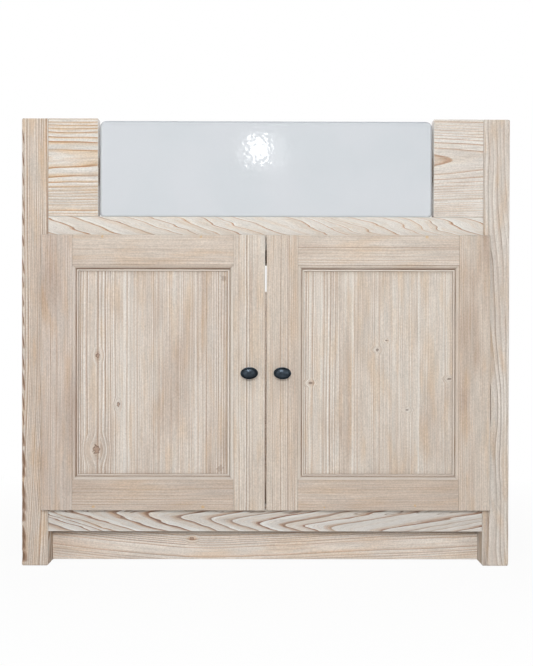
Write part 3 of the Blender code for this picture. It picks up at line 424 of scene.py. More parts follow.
# late wood as lines and early wood as chalky bands, year after year outwards from the heart
def yearLines(add, moved, tone, b):
    flat = add("VectorMath.MULTIPLY", [moved, (1, 1, 0)])
    radius = add("VectorMath.LENGTH", [flat])
    years = add("Math.MULTIPLY", [radius, 1 / (b["ring"] * mm)])
    rate, swing = grain["spell"]
    years = add("Math.MULTIPLY_ADD", [yearNoise(add, years, rate), swing, years])
    years = add("Math.ADD", [years, b["phase"]])
    season = add("Math.FRACT", [years])
    year = add("Math.FLOOR", [years])
    luck = add("TexWhiteNoise", {"W": year}, noise_dimensions="1D")
    luck = add("Math.POWER", [luck, grain["chance"]])
    begin, thick, peak = b["late"]
    faint, some, most = grain["rise"]
    late = add("ValToRGB", [season], stops=[
        (0.0, grey(0)), (begin, grey(faint)), (thick, grey(some)), (peak, grey(1)), ((peak + 1) / 2, grey(most)),
        (1.0, grey(0))])
    early = add("ValToRGB", [season], stops=[
        (0.0, grey(0.9)), (0.5 - begin / 2, grey(0.5)), (0.9 - 0.8 * begin, grey(0)), (1.0, grey(0))])
    force = add("MapRange", [luck, 0, 1, b["even"], grain["strongest"]])
    rate, start, stop = grain["mood"]
    mood = add("MapRange", [yearNoise(add, years, rate), start, stop, *b["moods"]])
    force = add("Math.MULTIPLY", [force, mood])
    patch = add("MapRange", [tone, *grain["usual"], *(share * b["contrast"] for share in grain["patch"])])
    force = add("Math.MULTIPLY", [force, patch])
    return [add("Math.MULTIPLY", [part, force]) for part in (late, early)]


# the ways to the board's faces along each axis, and the way to its nearest arris, which is the middle one of them
def waysOut(add, rest, b):
    off = add("VectorMath.SUBTRACT", [rest, b["middle"]])
    off = add("VectorMath.ABSOLUTE", [off])
    off = add("VectorMath.SUBTRACT", [b["half"], off])
    ways = add("SeparateXYZ", [off]).outputs
    less = add("Math.MINIMUM", [ways[0], ways[1]])
    more = add("Math.MAXIMUM", [ways[0], ways[1]])
    more = add("Math.MINIMUM", [more, ways[2]])
    return ways, add("Math.MAXIMUM", [less, more])


# a colour along an edge whose way off is made ragged by noise
def paintEdge(add, wood, colour, way, noise, band, most):
    ragged, start, stop = (part * mm for part in band)
    way = add("Math.MULTIPLY_ADD", [noise, ragged, way])
    return layOver(add, wood, colour, way, start, stop, most)


def paintMarks(add, wood, rest, noise, b):
    ripple = b["ripple"][0] * mm
    across = add("SeparateXYZ", [rest]).outputs[b["side"]]
    across = add("Math.MULTIPLY_ADD", [noise, 4 * ripple, across])
    for spot, wide, colour, most in b["marks"]:
        way = add("Math.SUBTRACT", [across, spot + 2 * ripple])
        way = add("Math.ABSOLUTE", [way])
        start, stop = (share * wide * mm for share in grain["markEdge"])
        wood = layOver(add, wood, b["hue"][colour], way, start, stop, most, "LINEAR")
    return wood


def paintSpots(add, wood, rest, spots, b):
    if spots:
        grit = add("TexNoise", {"Vector": rest, "Scale": 1 / (knotLook["grit"] * mm), "Detail": 1.5})
    for kind, span, small in spots:
        broken = add("Math.MULTIPLY_ADD", [grit, knotLook["ragged"], span])
        fill = b["hue"]["grime"] if kind == "stain" else toLinear(knotLook["pin"])
        if kind == "knot":
            core, rim = toLinear(knotLook["dark" if small else "core"]), toLinear(knotLook["rim"])
            fill = layOver(add, core, rim, broken, *knotLook["rimIn"], 1.0, "LINEAR")
        most = knotLook["force"]["dash" if kind == "knot" and small else kind]
        wood = layOver(add, wood, fill, broken, *knotLook["outline"], most)
    return wood


# lime and dust along a moulded edge, with painted shade down the ovolo and in its hollows, and painted highlight on
# its ovolo and bead
def paintMoulding(add, wood, rest, noise, b):
    which, sign, dust, lime = b["mould"]
    inner = b["high"][which] if sign > 0 else b["low"][which]
    way = add("SeparateXYZ", [rest]).outputs[which]
    way = add("Math.SUBTRACT", [way, inner])
    way = add("Math.ABSOLUTE", [way])
    way = add("MapRange", [way, 0, moulding["wide"] * mm])
    patchy = add("MapRange", [noise, *moulding["patchy"]])
    forces = {"shadow": b["shadow"], "ovolo": lime, "bead": moulding["bead"], "dust": dust}
    for kind, colour, rows in moulding["rows"]:
        stops = [(at / moulding["wide"], grey(tone)) for at, tone in rows] + [(1.0, grey(0))]
        share = add("ValToRGB", [way], stops=stops)
        share = add("Math.MULTIPLY", [share, patchy])
        share = add("Math.MULTIPLY", [share, forces[kind]])
        wood = add("Mix", {0: share, 6: wood, 7: b["hue"][colour]}, data_type="RGBA")
    return wood


def limedPine(node, board):
    b = sizeUp(node, board)
    hue, side = b["hue"], b["side"]
    material, add, rest = newMaterial("limed pine, " + node.replace("_", " "))
    place, spots = findSpots(add, rest, b)
    place = bendGrain(add, place, b)
    log = add("Mapping", {"Vector": place, "Location": b["heart"], "Rotation": b["lie"]}, vector_type="TEXTURE")
    log = add("VectorMath.ADD", [log, (0, 0, b["seed"])])
    if b["strips"]:
        across = add("SeparateXYZ", [rest]).outputs[side]
        start, stop = b["low"][side], b["high"][side]
        share = add("MapRange", [across, start, stop])
        stops = [((at - start) / (stop - start), grey(tone)) for at, tone in b["strips"]]
        strip = add("ValToRGB", [share], stops=[(0.0, grey(0.1))] + stops)
        strip.color_ramp.interpolation = "CONSTANT"
        jump = add("CombineXYZ", {"X": strip, "Z": strip})
        log = add("VectorMath.MULTIPLY_ADD", [jump, grain["stripJump"], log])
    moved = log
    for sway, wide, long in (b["wave"], b["ripple"]):
        noise = grainNoise(add, log, wide, long, 1.5)
        sides = add("VectorMath.SUBTRACT", [noise.outputs["Color"], (0.5, 0.5, 0.5)])
        reach = (2 * sway * mm, 2 * sway * mm, 0)
        moved = add("VectorMath.MULTIPLY_ADD", [sides, reach, moved])
    layers = {name: grainNoise(add, moved, *size, 2.0) for name, size in grain["layers"].items()}

    line, chalk = yearLines(add, moved, layers["tone"], b)
    wood = add("ValToRGB", [line], stops=[(0.0, hue["pale"]), (0.5, hue["tan"]), (1.0, hue["brown"])])
    aged = add("MapRange", [layers["tone"], *grain["agedIn"], 0, b["aged"]], interpolation_type="SMOOTHSTEP")
    if b["strips"]:
        aged = add("Math.MULTIPLY_ADD", [strip, grain["stripTone"], aged])
    for share, colour in ((aged, "shade"), (chalk, "lime")):
        wood = add("Mix", {0: share, 6: wood, 7: hue[colour]}, data_type="RGBA")
    for start, stop, most, colour in grain["streaks"]:
        wood = layOver(add, wood, hue[colour], layers["streak"], start, stop, most * b["streak"])
    drift = add("SeparateColor", [layers["drift"].outputs["Color"]])
    for channel, colour in grain["drifts"]:
        wood = layOver(add, wood, hue[colour], drift.outputs[channel], *grain["driftIn"], b["drift"])
    if b["marks"]:
        wood = paintMarks(add, wood, rest, noise, b)  # they sway with the last noise, the ripple
    pores = add("MapRange", [layers["fibre"], *grain["usual"], *grain["pores"]])
    speck = add("MapRange", [layers["speck"], *grain["usual"], 1 - b["speck"], 1 + b["speck"]])
    pores = add("Math.MULTIPLY", [pores, speck])
    wood = add("VectorMath.SCALE", {0: wood, "Scale": pores})
    wood = paintSpots(add, wood, rest, spots, b)
    ways, edge = waysOut(add, rest, b)
    wood = paintEdge(add, wood, hue["lime"], edge, layers["streak"], grain["arris"], b["wear"])
    if b["stain"]:
        rim = add("Math.MINIMUM", [ways[b["longest"]], ways[side]])
        wood = paintEdge(add, wood, hue["grime"], rim, layers["tone"], grain["rim"], b["stain"])
    if b["mould"]:
        wood = paintMoulding(add, wood, rest, layers["drift"], b)
    if b["hollows"]:  # old brown skin left in the hewn hollows
        hollow = add("Attribute", attribute_name="hollow").outputs["Fac"]
        ragged = add("Math.MULTIPLY_ADD", [layers["fibre"], grain["skinFibre"], hollow])
        for start, stop, most, colour in grain["skin"]:
            wood = layOver(add, wood, hue[colour], ragged, start, stop, most)

    relief = add("Math.MULTIPLY_ADD", [layers["fibre"], grain["fibreRelief"], line])
    bump = add("Bump", {"Height": relief, "Strength": grain["bump"], "Distance": b["lift"] * mm})
    gloss = add("MapRange", [line, 0, 1, *grain["gloss"]])
    if b["sealed"]:
        coat = add("MapRange", [ways[side], *(part * mm for part in grain["coat"])])
        gloss = add("Mix", {0: coat, 2: gloss, 3: b["sealed"]})
    surface = add("BsdfPrincipled", {"Base Color": wood, "Roughness": gloss, "Normal": bump, **grain["oil"]})
    add("OutputMaterial", [surface])
    return material


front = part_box("sink_rail")[0].y
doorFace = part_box("left_door_hinge_stile")[0].y
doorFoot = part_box("left_door_bottom_rail")[0].z
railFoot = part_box("bottom_rail")[0].z
boards = {
    "front_post_left": {
        "axis": (0.02, 0, 1), "arrow": ((-0.454, front, 0.376), (-1, 0, 0), (0, 0, 1), 0.03, 1.8),
        "radial": (1, 0.2, 0), "ring": 4.3, "reach": 160, "contrast": 1.9, "tint": (1.003, 1.012, 1.014),
        "even": 0.5, "drift": 0.5, "wave": (2.0, 60, 500), "moods": (0.7, 1.15), "late": (0.45, 0.7, 0.85),
        "hollows": True},
    "front_post_right": {
        "ring": 6.0, "reach": 70, "axis": (0.045, 0.01, -1), "radial": (0.8, -0.5, 0), "wave": (14.0, 80, 260),
        "contrast": 0.85, "seed": 3.0, "pale": "#dfd7cf", "tan": "#bfb0a4", "brown": "#8b776a", "even": 0.5,
        "moods": (0.7, 1.2), "drift": 0.42, "tint": (1.001, 1.018, 1.028)},
    "infill_block_left": {
        "axis": (1, 0.022, 0.0), "radial": (0, -1, 0), "reach": 46, "start": (-0.42, front, 0.800), "ring": 5.3,
        "contrast": 1.2, "tan": "#dcc1a2", "brown": "#b68a64", "pale": "#e0d6cc", "late": (0.40, 0.72, 0.90),
        "wave": (4.5, 45, 150), "moods": (0.9, 1.1), "even": 0.75, "drift": 0.45, "tint": (1.017, 1.051, 1.080),
        "phase": 0.13, "sealed": 0.10, "seed": 1.0},
    "infill_block_right": {
        "axis": (1, 0.043, 0.01), "radial": (0, -1, 0), "reach": 46, "start": (0.37, front, 0.7985), "ring": 4.4,
        "contrast": 1.25, "tan": "#dac3ae", "brown": "#b38b73", "pale": "#e6e0da", "late": (0.68, 0.85, 0.935),
        "wave": (3.0, 60, 260), "moods": (0.8, 1.1), "even": 0.7, "drift": 0.18, "tint": (0.99, 1.01, 1.02),
        "phase": 0.5, "sealed": 0.10, "seed": 2.0},
    "sink_rail": {
        "axis": (0, 0, 1), "radial": (1, 0, 0), "reach": 900, "ring": 46, "bend": (46, 0.6687, 19.5),
        "contrast": 1.9, "pale": "#e4dcd4", "tan": "#d6b59b", "brown": "#a4775b", "lime": "#ece7e0",
        "shade": "#d9cabb", "late": (0.84, 0.92, 0.96), "wave": (34, 190, 26), "ripple": (13, 60, 12),
        "streak": 0.4, "even": 0.45, "moods": (0.8, 1.15), "drift": 0.3, "tint": (0.991, 1.031, 1.053),
        "seed": 4.0},
    "bottom_rail": {
        "axis": (0, 0, 1), "radial": (1, 0, 0), "reach": 900, "ring": 52,
        "arrow": ((-0.06, front, 0.0885), (1, 0, 0), (0.07, 0, 1), 4.3, 20), "run": 12, "contrast": 1.75,
        "tint": (0.985, 1.020, 1.052), "pale": "#dcd6cf", "tan": "#b7967f", "brown": "#7a4f38", "lime": "#e6e2dc",
        "shade": "#c9bcaf", "late": (0.64, 0.85, 0.94), "wave": (22, 90, 22), "ripple": (11, 24, 8), "streak": 0.5,
        "even": 0.5, "moods": (0.8, 1.2), "seed": 5.0, "lift": 0.5,
        # painted shadow: a dark line just under the doors' foot
        "marks": ((doorFoot - 0.9 * mm, 2.4, "grime", 0.7),)},
    "plinth_board": {
        "axis": (1, 0, -0.0325), "radial": (0, 0, -1), "reach": 300, "ring": 7.0,
        "arrow": ((-0.155, 0, 0.06), (0, 0, 1), (1, 0, 0), 0.0825, 5), "contrast": 2.0,
        "tint": (1.071, 1.103, 1.144), "pale": "#e6dacd", "tan": "#c9a98f", "brown": "#7d5641", "shade": "#d0b7a3",
        "late": (0.66, 0.85, 0.94), "knots": (((-0.147, -0.2, 0.0445), 3.4),), "wave": (4.0, 50, 300), "even": 0.3,
        # painted shadow: a dark line along the plinth's top, under the bottom rail
        "seed": 6.0, "marks": ((railFoot - 9.5 * mm, 3.0, "grime", 0.6),)},
}
# the mouldings' dust and lime change with the side each faces: more painted shade on the top rail, more painted
# highlight on the stiles and the bottom rail
for word, sign, hingeTint, meetTint, topTint, topForce, footForce in (
        ("left", -1, (0.905, 0.890, 0.897), (1.008, 1.045, 1.067), (0.956, 0.955, 0.953), 0.7, 1.2),
        ("right", 1, (0.938, 0.934, 0.928), (0.952, 0.952, 0.946), (0.979, 0.990, 0.998), 1.2, 0.75)):
    door = word + "_door_"
    boards[door + "hinge_stile"] = {
        "mould": (0, -sign, 0.6, 0.5), "tint": hingeTint, "contrast": 0.95, "aged": 1.0, "drift": 0.42,
        "reach": 260 + 30 * sign, "seed": 7.0 + sign}
    boards[door + "meeting_stile"] = {
        "mould": (0, sign, 0.6, 0.5), "tint": meetTint, "contrast": 1.1, "ring": 3.4, "even": 0.35,
        "reach": 200 + 40 * sign, "seed": 9.0 + sign}
    boards[door + "top_rail"] = {
        "mould": (2, -1, 0.9, 0.15), "shadow": 0.55, "tint": topTint, "contrast": topForce, "ring": 4.6,
        "seed": 11.0 + sign}
    # the bottom rails are tinted darker, partly painted shade where the light falls off towards the foot
    boards[door + "bottom_rail"] = {
        "mould": (2, 1, 0.25, 0.7), "tint": (0.876, 0.874, 0.885), "contrast": footForce, "ring": 4.6,
        "seed": 13.0 + sign, "pale": "#d9c9b9"}
boards["left_door_meeting_stile"]["marks"] = (
    (-0.0397, 2.4, "lime", 0.75), (-0.0374, 2.2, "brown", 0.6), (-0.0341, 2.6, "lime", 0.6),
    (-0.0317, 2.2, "brown", 0.4))
boards["right_door_meeting_stile"]["marks"] = ((0.0408, 2.0, "lime", 0.55), (0.0426, 1.8, "brown", 0.4))
boards["right_door_top_rail"]["marks"] = ((0.6263, 1.7, "brown", 0.55),)
boards["left_door_top_rail"]["pins"] = (((-0.318, doorFace, 0.6465), 2.4), ((-0.126, doorFace, 0.6465), 2.4))
boards["right_door_top_rail"]["pins"] = (((0.313, doorFace, 0.6465), 2.6),)
boards["left_door_bottom_rail"]["pins"] = (((-0.336, doorFace, 0.1204), 2.5), ((-0.122, doorFace, 0.1204), 2.5))
boards["right_door_bottom_rail"]["pins"] = (((0.115, doorFace, 0.1195), 2.4), ((0.2915, doorFace, 0.1224), 2.7))
boards["left_door_panel"] = {
    "strips": ((-0.2785, 0.5), (-0.1375, 0.8)), "stain": 0.10, "contrast": 1.35, "ring": 4.8, "seed": 15.0,
    "drift": 0.34, "aged": 0.75, "streak": 0.7, "tint": (1.010, 1.045, 1.077), "moods": (0.4, 1.2),
    "marks": ((-0.3285, 2.3, "brown", 0.5), (-0.3250, 2.6, "lime", 0.5), (-0.2760, 4.0, "lime", 0.7),
              (-0.2680, 3.0, "lime", 0.5), (-0.1370, 3.6, "lime", 0.6), (-0.1285, 3.0, "lime", 0.45)),
    "stains": (((-0.083, doorFace, 0.566), 6.0), ((-0.0895, doorFace, 0.194), 6.0)),
    "knots": (((-0.331, doorFace, 0.2305), 7.0), ((-0.2878, doorFace, 0.319), 3.1),
              ((-0.328, doorFace, 0.4143), 3.6))}
boards["right_door_panel"] = {
    "strips": ((0.172, 0.6), (0.297, 0.25)), "stain": 0.10, "contrast": 1.12, "ring": 4.8, "seed": 17.0,
    "drift": 0.34, "aged": 0.75, "streak": 0.7, "tint": (1.022, 1.066, 1.098), "moods": (0.4, 1.2),
    "marks": ((0.1700, 3.2, "lime", 0.55), (0.2990, 3.2, "lime", 0.6)),
    "knots": (((0.2185, doorFace, 0.427), 2.2), ((0.236, doorFace, 0.445), 1.6), ((0.088, doorFace, 0.362), 2.3),
              ((0.359, doorFace, 0.370), 2.2), ((0.277, doorFace, 0.309), 1.9))}
pineParts = sorted(n for n in nodes if "pine" in nodes[n].data.materials[0].name)
for index, name in enumerate(pineParts):
    dress(nodes[name], limedPine(name, {"seed": 0.61 * index, **boards.get(name, {})}))
print("boards dressed:", len(pineParts))

# left post: its outer arris was left hewn, a row of shallow hollows one under the other
hewn = {
    "band": 14, "long": 34, "pitch": 40, "wide": 2.6, "deep": 2.0,  # mm
    "step": 2.5,  # mm between cuts along the post
    "cuts": (8, 4),  # cuts across the band, on the front and on the side
    "lean": 0.15,
    "spread": (5.0, 5),  # how much wider they are at the foot, and how soon that fades upwards
    "crowd": 0.6,  # share of the pitch by which they close up at the foot
    "ends": (20, 7),  # mm kept clear at the top and at the foot
    "longs": (0.75, 1.15), "forces": (0.55, 1.0), "pitches": (0.85, 1.15),  # shares drawn by lot
    "blunt": 0.6,  # how square their ends are
    "smooth": 32,  # degrees
    "seed": 11,
}


def hewPost(h):
    node = nodes["front_post_left"]
    low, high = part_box("front_post_left")
    shape = bmesh.new()
    shape.from_mesh(node.data)
    bmesh.ops.remove_doubles(shape, verts=shape.verts, dist=1e-6)
    tall = high.z - low.z
    wideCuts, deepCuts = h["cuts"]
    cuts = [((low.x + h["band"] * k / wideCuts * mm, 0, 0), (1, 0, 0)) for k in range(1, wideCuts + 1)]
    cuts += [((0, low.y + h["band"] * k / deepCuts * mm, 0), (0, 1, 0)) for k in range(1, deepCuts + 1)]
    count = int(tall / (h["step"] * mm))
    cuts += [((0, 0, low.z + tall * k / count), (0, 0, 1)) for k in range(1, count)]
    for spot, way in cuts:
        everything = shape.verts[:] + shape.edges[:] + shape.faces[:]
        bmesh.ops.bisect_plane(shape, geom=everything, plane_co=spot, plane_no=way, dist=1e-6)
    luck = random.Random(h["seed"])
    scoops = []
    level, foot = high.z - h["ends"][0] * mm, low.z + h["ends"][1] * mm
    more, fade = h["spread"]
    while level > foot + h["pitch"] / 4 * mm:
        long = min(h["long"] * luck.uniform(*h["longs"]) * mm, level - foot)
        scoops.append((level, long, luck.uniform(*h["forces"])))
        near = (1 - (level - low.z) / tall) ** fade
        level -= h["pitch"] * luck.uniform(*h["pitches"]) * (1 - h["crowd"] * near) * mm
    layer = shape.verts.layers.float.new("hollow")
    for vert in shape.verts:
        away = vert.co - low
        if max(away.x, away.y) > h["band"] * mm:
            continue
        wide = h["wide"] * (1 + more * (1 - away.z / tall) ** fade) * mm
        for level, long, force in scoops:
            down = level - vert.co.z
            if 0 < down < long:
                gap = abs(away.x - away.y - h["lean"] * down) / (wide * force)
                vert[layer] = max(vert[layer], (1 - gap) * math.sin(math.pi * down / long) ** h["blunt"])
        inward = Vector((away.y + mm, away.x + mm)).normalized()
        vert.co.xy += inward * h["deep"] * mm * max(vert[layer], 0)
    piece = makePiece("hewn_front_post_left", shape, h["smooth"])
    dress(piece, node.data.materials[0])
    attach(piece, "cabinet")
    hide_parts("front_post_left")


hewPost(hewn)
print("left post hewn")

# metals: two close shades clouded together, gloss that changes with handling, fine marks in the skin
metals = {
    "black_iron": {"name": "blackened iron", "bright": "#3d464e", "dull": "#2c3238", "cloud": 9,
                   "gloss": (0.34, 0.42), "grain": 1.6, "lift": 0.05, "edge": 0.10},
    "polished_steel": {"name": "polished steel", "bright": "#d2d2cf", "dull": "#bdbdbb", "cloud": 24,
                       "gloss": (0.10, 0.22), "grain": 0.35, "lift": 0.006, "edge": 1.0},
    "nickelled_steel": {"name": "nickel plated steel", "bright": "#c3beb4", "dull": "#a9a59d", "cloud": 12,
                        "gloss": (0.22, 0.36), "grain": 0.5, "lift": 0.008, "edge": 0.9},
}


def metalFinish(look):
    material, add, place = newMaterial(look["name"])
    cloud = add("TexNoise", {"Vector": place, "Scale": 1 / (look["cloud"] * mm), "Detail": 3.0})
    marks = add("TexNoise", {"Vector": place, "Scale": 1 / (look["grain"] * mm), "Detail": 2.0})
    colour = add("ValToRGB", [cloud], stops=[(0.35, toLinear(look["bright"])), (0.65, toLinear(look["dull"]))])
    gloss = add("MapRange", [cloud, *grain["usual"], *look["gloss"]])
    bump = add("Bump", {"Height": marks, "Strength": 0.5, "Distance": look["lift"] * mm})
    surface = add("BsdfPrincipled", {
        "Base Color": colour, "Metallic": 1.0, "Roughness": gloss, "Normal": bump,
        "Specular Tint": grey(look["edge"])})
    add("OutputMaterial", [surface])
    return material


glassIndex = 1.5  # of glaze and of rubber
# glazed fireclay: bluish white under a thick bright glaze, faintly dimpled, greyer along the top arris, partly
# thinner glaze and partly painted shade
glaze = {
    "white": "#d2d6db", "cool": "#cfd4d9", "thinAndShaded": "#a4aab1",
    "cloud": 125,  # mm
    "arris": (4.0, 1.0, 0.75),  # mm under the top over which it thins and is painted darker, and by how much
    "dimple": 7, "lift": 0.205, "bump": 0.35,  # mm, mm and force
    "gloss": (0.020, 0.030),
    "dull": 0.35,  # roughness added where it is thin
}


def glazedFireclay(g):
    material, add, place = newMaterial("glazed fireclay")
    cloud = add("TexNoise", {"Vector": place, "Scale": 1 / (g["cloud"] * mm), "Detail": 2.0})
    colour = add("ValToRGB", [cloud], stops=[(0.4, toLinear(g["white"])), (0.6, toLinear(g["cool"]))])
    off = add("VectorMath.SUBTRACT", [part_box("sink")[1], place])
    down = add("SeparateXYZ", [off]).outputs[2]
    # painted shade: the glaze turns greyer just under the top, where it is also thinner
    clear, worn, most = g["arris"]
    thinAndShaded = add("MapRange", [down, clear * mm, worn * mm, 0, most], interpolation_type="SMOOTHSTEP")
    colour = add("Mix", {0: thinAndShaded, 6: colour, 7: toLinear(g["thinAndShaded"])}, data_type="RGBA")
    dimple = add("TexNoise", {"Vector": place, "Scale": 1 / (g["dimple"] * mm), "Detail": 0.0})
    depth = add("MapRange", [thinAndShaded, 0, 1, g["bump"], 0.0])
    bump = add("Bump", {"Height": dimple, "Strength": depth, "Distance": g["lift"] * mm})
    gloss = add("MapRange", [cloud, *grain["usual"], *g["gloss"]])
    gloss = add("Math.MULTIPLY_ADD", [thinAndShaded, g["dull"], gloss])
    surface = add("BsdfPrincipled", {"Base Color": colour, "Roughness": gloss, "Normal": bump, "IOR": glassIndex})
    add("OutputMaterial", [surface])
    return material


# rubber: matt black with a moulded grain for the seal, milky and half clear for the bumpers
rubbers = {
    "black_rubber": {"name": "black rubber", "colour": "#1b1b1c", "worn": "#2b2b2b", "gloss": 0.72, "through": 0.0},
    "clear_rubber": {"name": "clear rubber", "colour": "#e4e3dd", "worn": "#cfcdc4", "gloss": 0.28, "through": 0.7},
}
rubberSkin = {"pebble": 0.8, "dust": 9, "lift": 0.05}  # mm


def rubberFinish(look):
    material, add, place = newMaterial(look["name"])
    pebble = add("TexNoise", {"Vector": place, "Scale": 1 / (rubberSkin["pebble"] * mm), "Detail": 3.0})
    dust = add("TexNoise", {"Vector": place, "Scale": 1 / (rubberSkin["dust"] * mm), "Detail": 2.0})
    colour = add("ValToRGB", [dust], stops=[(0.45, toLinear(look["colour"])), (0.7, toLinear(look["worn"]))])
    bump = add("Bump", {"Height": pebble, "Strength": 0.3, "Distance": rubberSkin["lift"] * mm})
    surface = add("BsdfPrincipled", {
        "Base Color": colour, "Roughness": look["gloss"], "Normal": bump, "IOR": glassIndex,
        "Transmission Weight": look["through"]})
    add("OutputMaterial", [surface])
    return material


finishes = {kind: metalFinish(look) for kind, look in metals.items()}
finishes.update({kind: rubberFinish(look) for kind, look in rubbers.items()})
finishes["glazed_fireclay"] = glazedFireclay(glaze)
for name, node in nodes.items():
    for kind, material in finishes.items():
        if kind in node.data.materials[0].name:
            dress(node, material)
print("finishes ready:", len(finishes))


def carry(piece, kind, body, *replaced):
    dress(piece, finishes[kind])
    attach(piece, body)
    if replaced:
        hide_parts(*replaced)


def flatten(piece):  # keeps broad faces flat to the eye beside small rounded edges
    step = piece.modifiers.new("flatFaces", "WEIGHTED_NORMAL")
    step.weight = 100
    step.keep_sharp = True


# the piece's mesh with the tool's shape cut out of it
def cutOut(piece, tool, **settings):
    step = piece.modifiers.new("cut", "BOOLEAN")
    step.object, step.solver = tool, "EXACT"
    for name, value in settings.items():
        setattr(step, name, value)
    bpy.context.view_layer.update()
    mesh = bpy.data.meshes.new_from_object(piece.evaluated_get(bpy.context.evaluated_depsgraph_get()))
    piece.modifiers.clear()
    bpy.data.objects.remove(tool, do_unlink=True)
    return mesh


# points of (radius, height) in mm, turned about the Z axis
def lathe(points, steps):
    shape = bmesh.new()
    verts = [shape.verts.new((r * mm, 0, h * mm)) for r, h in points]
    edges = [shape.edges.new(pair) for pair in zip(verts, verts[1:])]
    bmesh.ops.spin(shape, geom=verts + edges, cent=(0, 0, 0), axis=(0, 0, 1), angle=math.tau, steps=steps,
                   use_merge=True)
    bmesh.ops.remove_doubles(shape, verts=shape.verts, dist=1e-6)
    bmesh.ops.recalc_face_normals(shape, faces=shape.faces)
    return shape


# sink: one chain of loops, out under the base, up the outside, over the rim, down the bowl and the waste hole
sink = {
    "foot": (7, 3, 7), "top": (12, 5, 12),  # mm of rounding sideways, in depth and in height
    "corner": 8, "rim": 6, "wall": 24, "base": 24, "taper": 8, "bowlCorner": 45, "bowlFoot": 20,
    "recess": (58, 3),  # radius and depth round the waste
    "hole": 44,
    "steps": 15,  # of each corner in plan
    "round": 6,  # of each rounded edge
    "smooth": 40,  # degrees
}


def loopOf(shape, wide, deep, corner, centre, steps):
    verts = bmesh.ops.create_grid(shape, x_segments=1, y_segments=1, size=0.5)["verts"]
    bmesh.ops.scale(shape, vec=(wide, deep, 1), verts=verts)
    bmesh.ops.translate(shape, vec=(centre.x, centre.y, 0), verts=verts)
    made = bmesh.ops.bevel(shape, geom=verts, offset=corner, segments=steps, profile=0.5, affect="VERTICES",
                           material=-1)
    face = made["verts"][0].link_faces[0]
    verts, edges = list(face.verts), list(face.edges)
    bmesh.ops.delete(shape, geom=[face], context="FACES_ONLY")
    return verts, edges


def circleOf(shape, radius, centre, count):
    spot = Matrix.Translation((centre.x, centre.y, 0)) @ Matrix.Rotation(math.pi / count, 4, "Z")
    verts = bmesh.ops.create_circle(shape, segments=count, radius=radius, matrix=spot)["verts"]
    return verts, list({edge for vert in verts for edge in vert.link_edges})


def makeSink(s):
    low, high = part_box("sink")
    centre, size = (low + high) / 2, high - low
    shape = bmesh.new()
    arcs = [math.radians(90 * i / s["round"]) for i in range(s["round"] + 1)]
    rim, foot = s["rim"] * mm, s["bowlFoot"] * mm
    mouth, floor = -s["wall"] * mm, low.z + s["base"] * mm
    rows = []  # how far each loop stands out from the outside, sideways and in depth, its corner, its height
    corner, bowl = s["corner"] * mm, s["bowlCorner"] * mm
    for level, way, (sideways, inward, tall) in ((low.z, 1, s["foot"]), (high.z, -1, s["top"])):
        for a in arcs[::way]:
            slack = mm * (1 - math.sin(a))
            rows.append((-sideways * slack, -inward * slack, corner - inward * slack,
                         level + way * tall * mm * (1 - math.cos(a))))
    for a in arcs:
        grow = rim * (1 - math.sin(a))
        rows.append((mouth + grow, mouth + grow, bowl + grow, high.z - rim * (1 - math.cos(a))))
    for a in arcs:
        grow = -s["taper"] * mm - foot * (1 - math.cos(a))
        rows.append((mouth + grow, mouth + grow, bowl + grow, floor + foot * (1 - math.sin(a))))
    chain = [loopOf(shape, size.x + 2 * sideways, size.y + 2 * inward, bend, centre, s["steps"])
             for sideways, inward, bend, height in rows]
    heights = [row[3] for row in rows]
    recess, drop = s["recess"]
    for radius, height in ((recess, floor), (recess, floor - drop * mm), (s["hole"], floor - drop * mm),
                           (s["hole"], low.z)):
        chain.append(circleOf(shape, radius * mm, centre, len(chain[0][1])))
        heights.append(height)
    for index, (verts, edges) in enumerate(chain):  # stacked while they are joined, so that none are level
        bmesh.ops.translate(shape, vec=(0, 0, 0.05 * index), verts=verts)
    for one, other in zip(chain, chain[1:] + chain[:1]):
        bmesh.ops.bridge_loops(shape, edges=one[1] + other[1])
    for (verts, edges), height in zip(chain, heights):
        for vert in verts:
            vert.co.z = height
    bmesh.ops.recalc_face_normals(shape, faces=shape.faces)
    piece = makePiece("glazed_sink", shape, s["smooth"])
    flatten(piece)
    carry(piece, "glazed_fireclay", "cabinet", "sink")


makeSink(sink)
print("sink made")

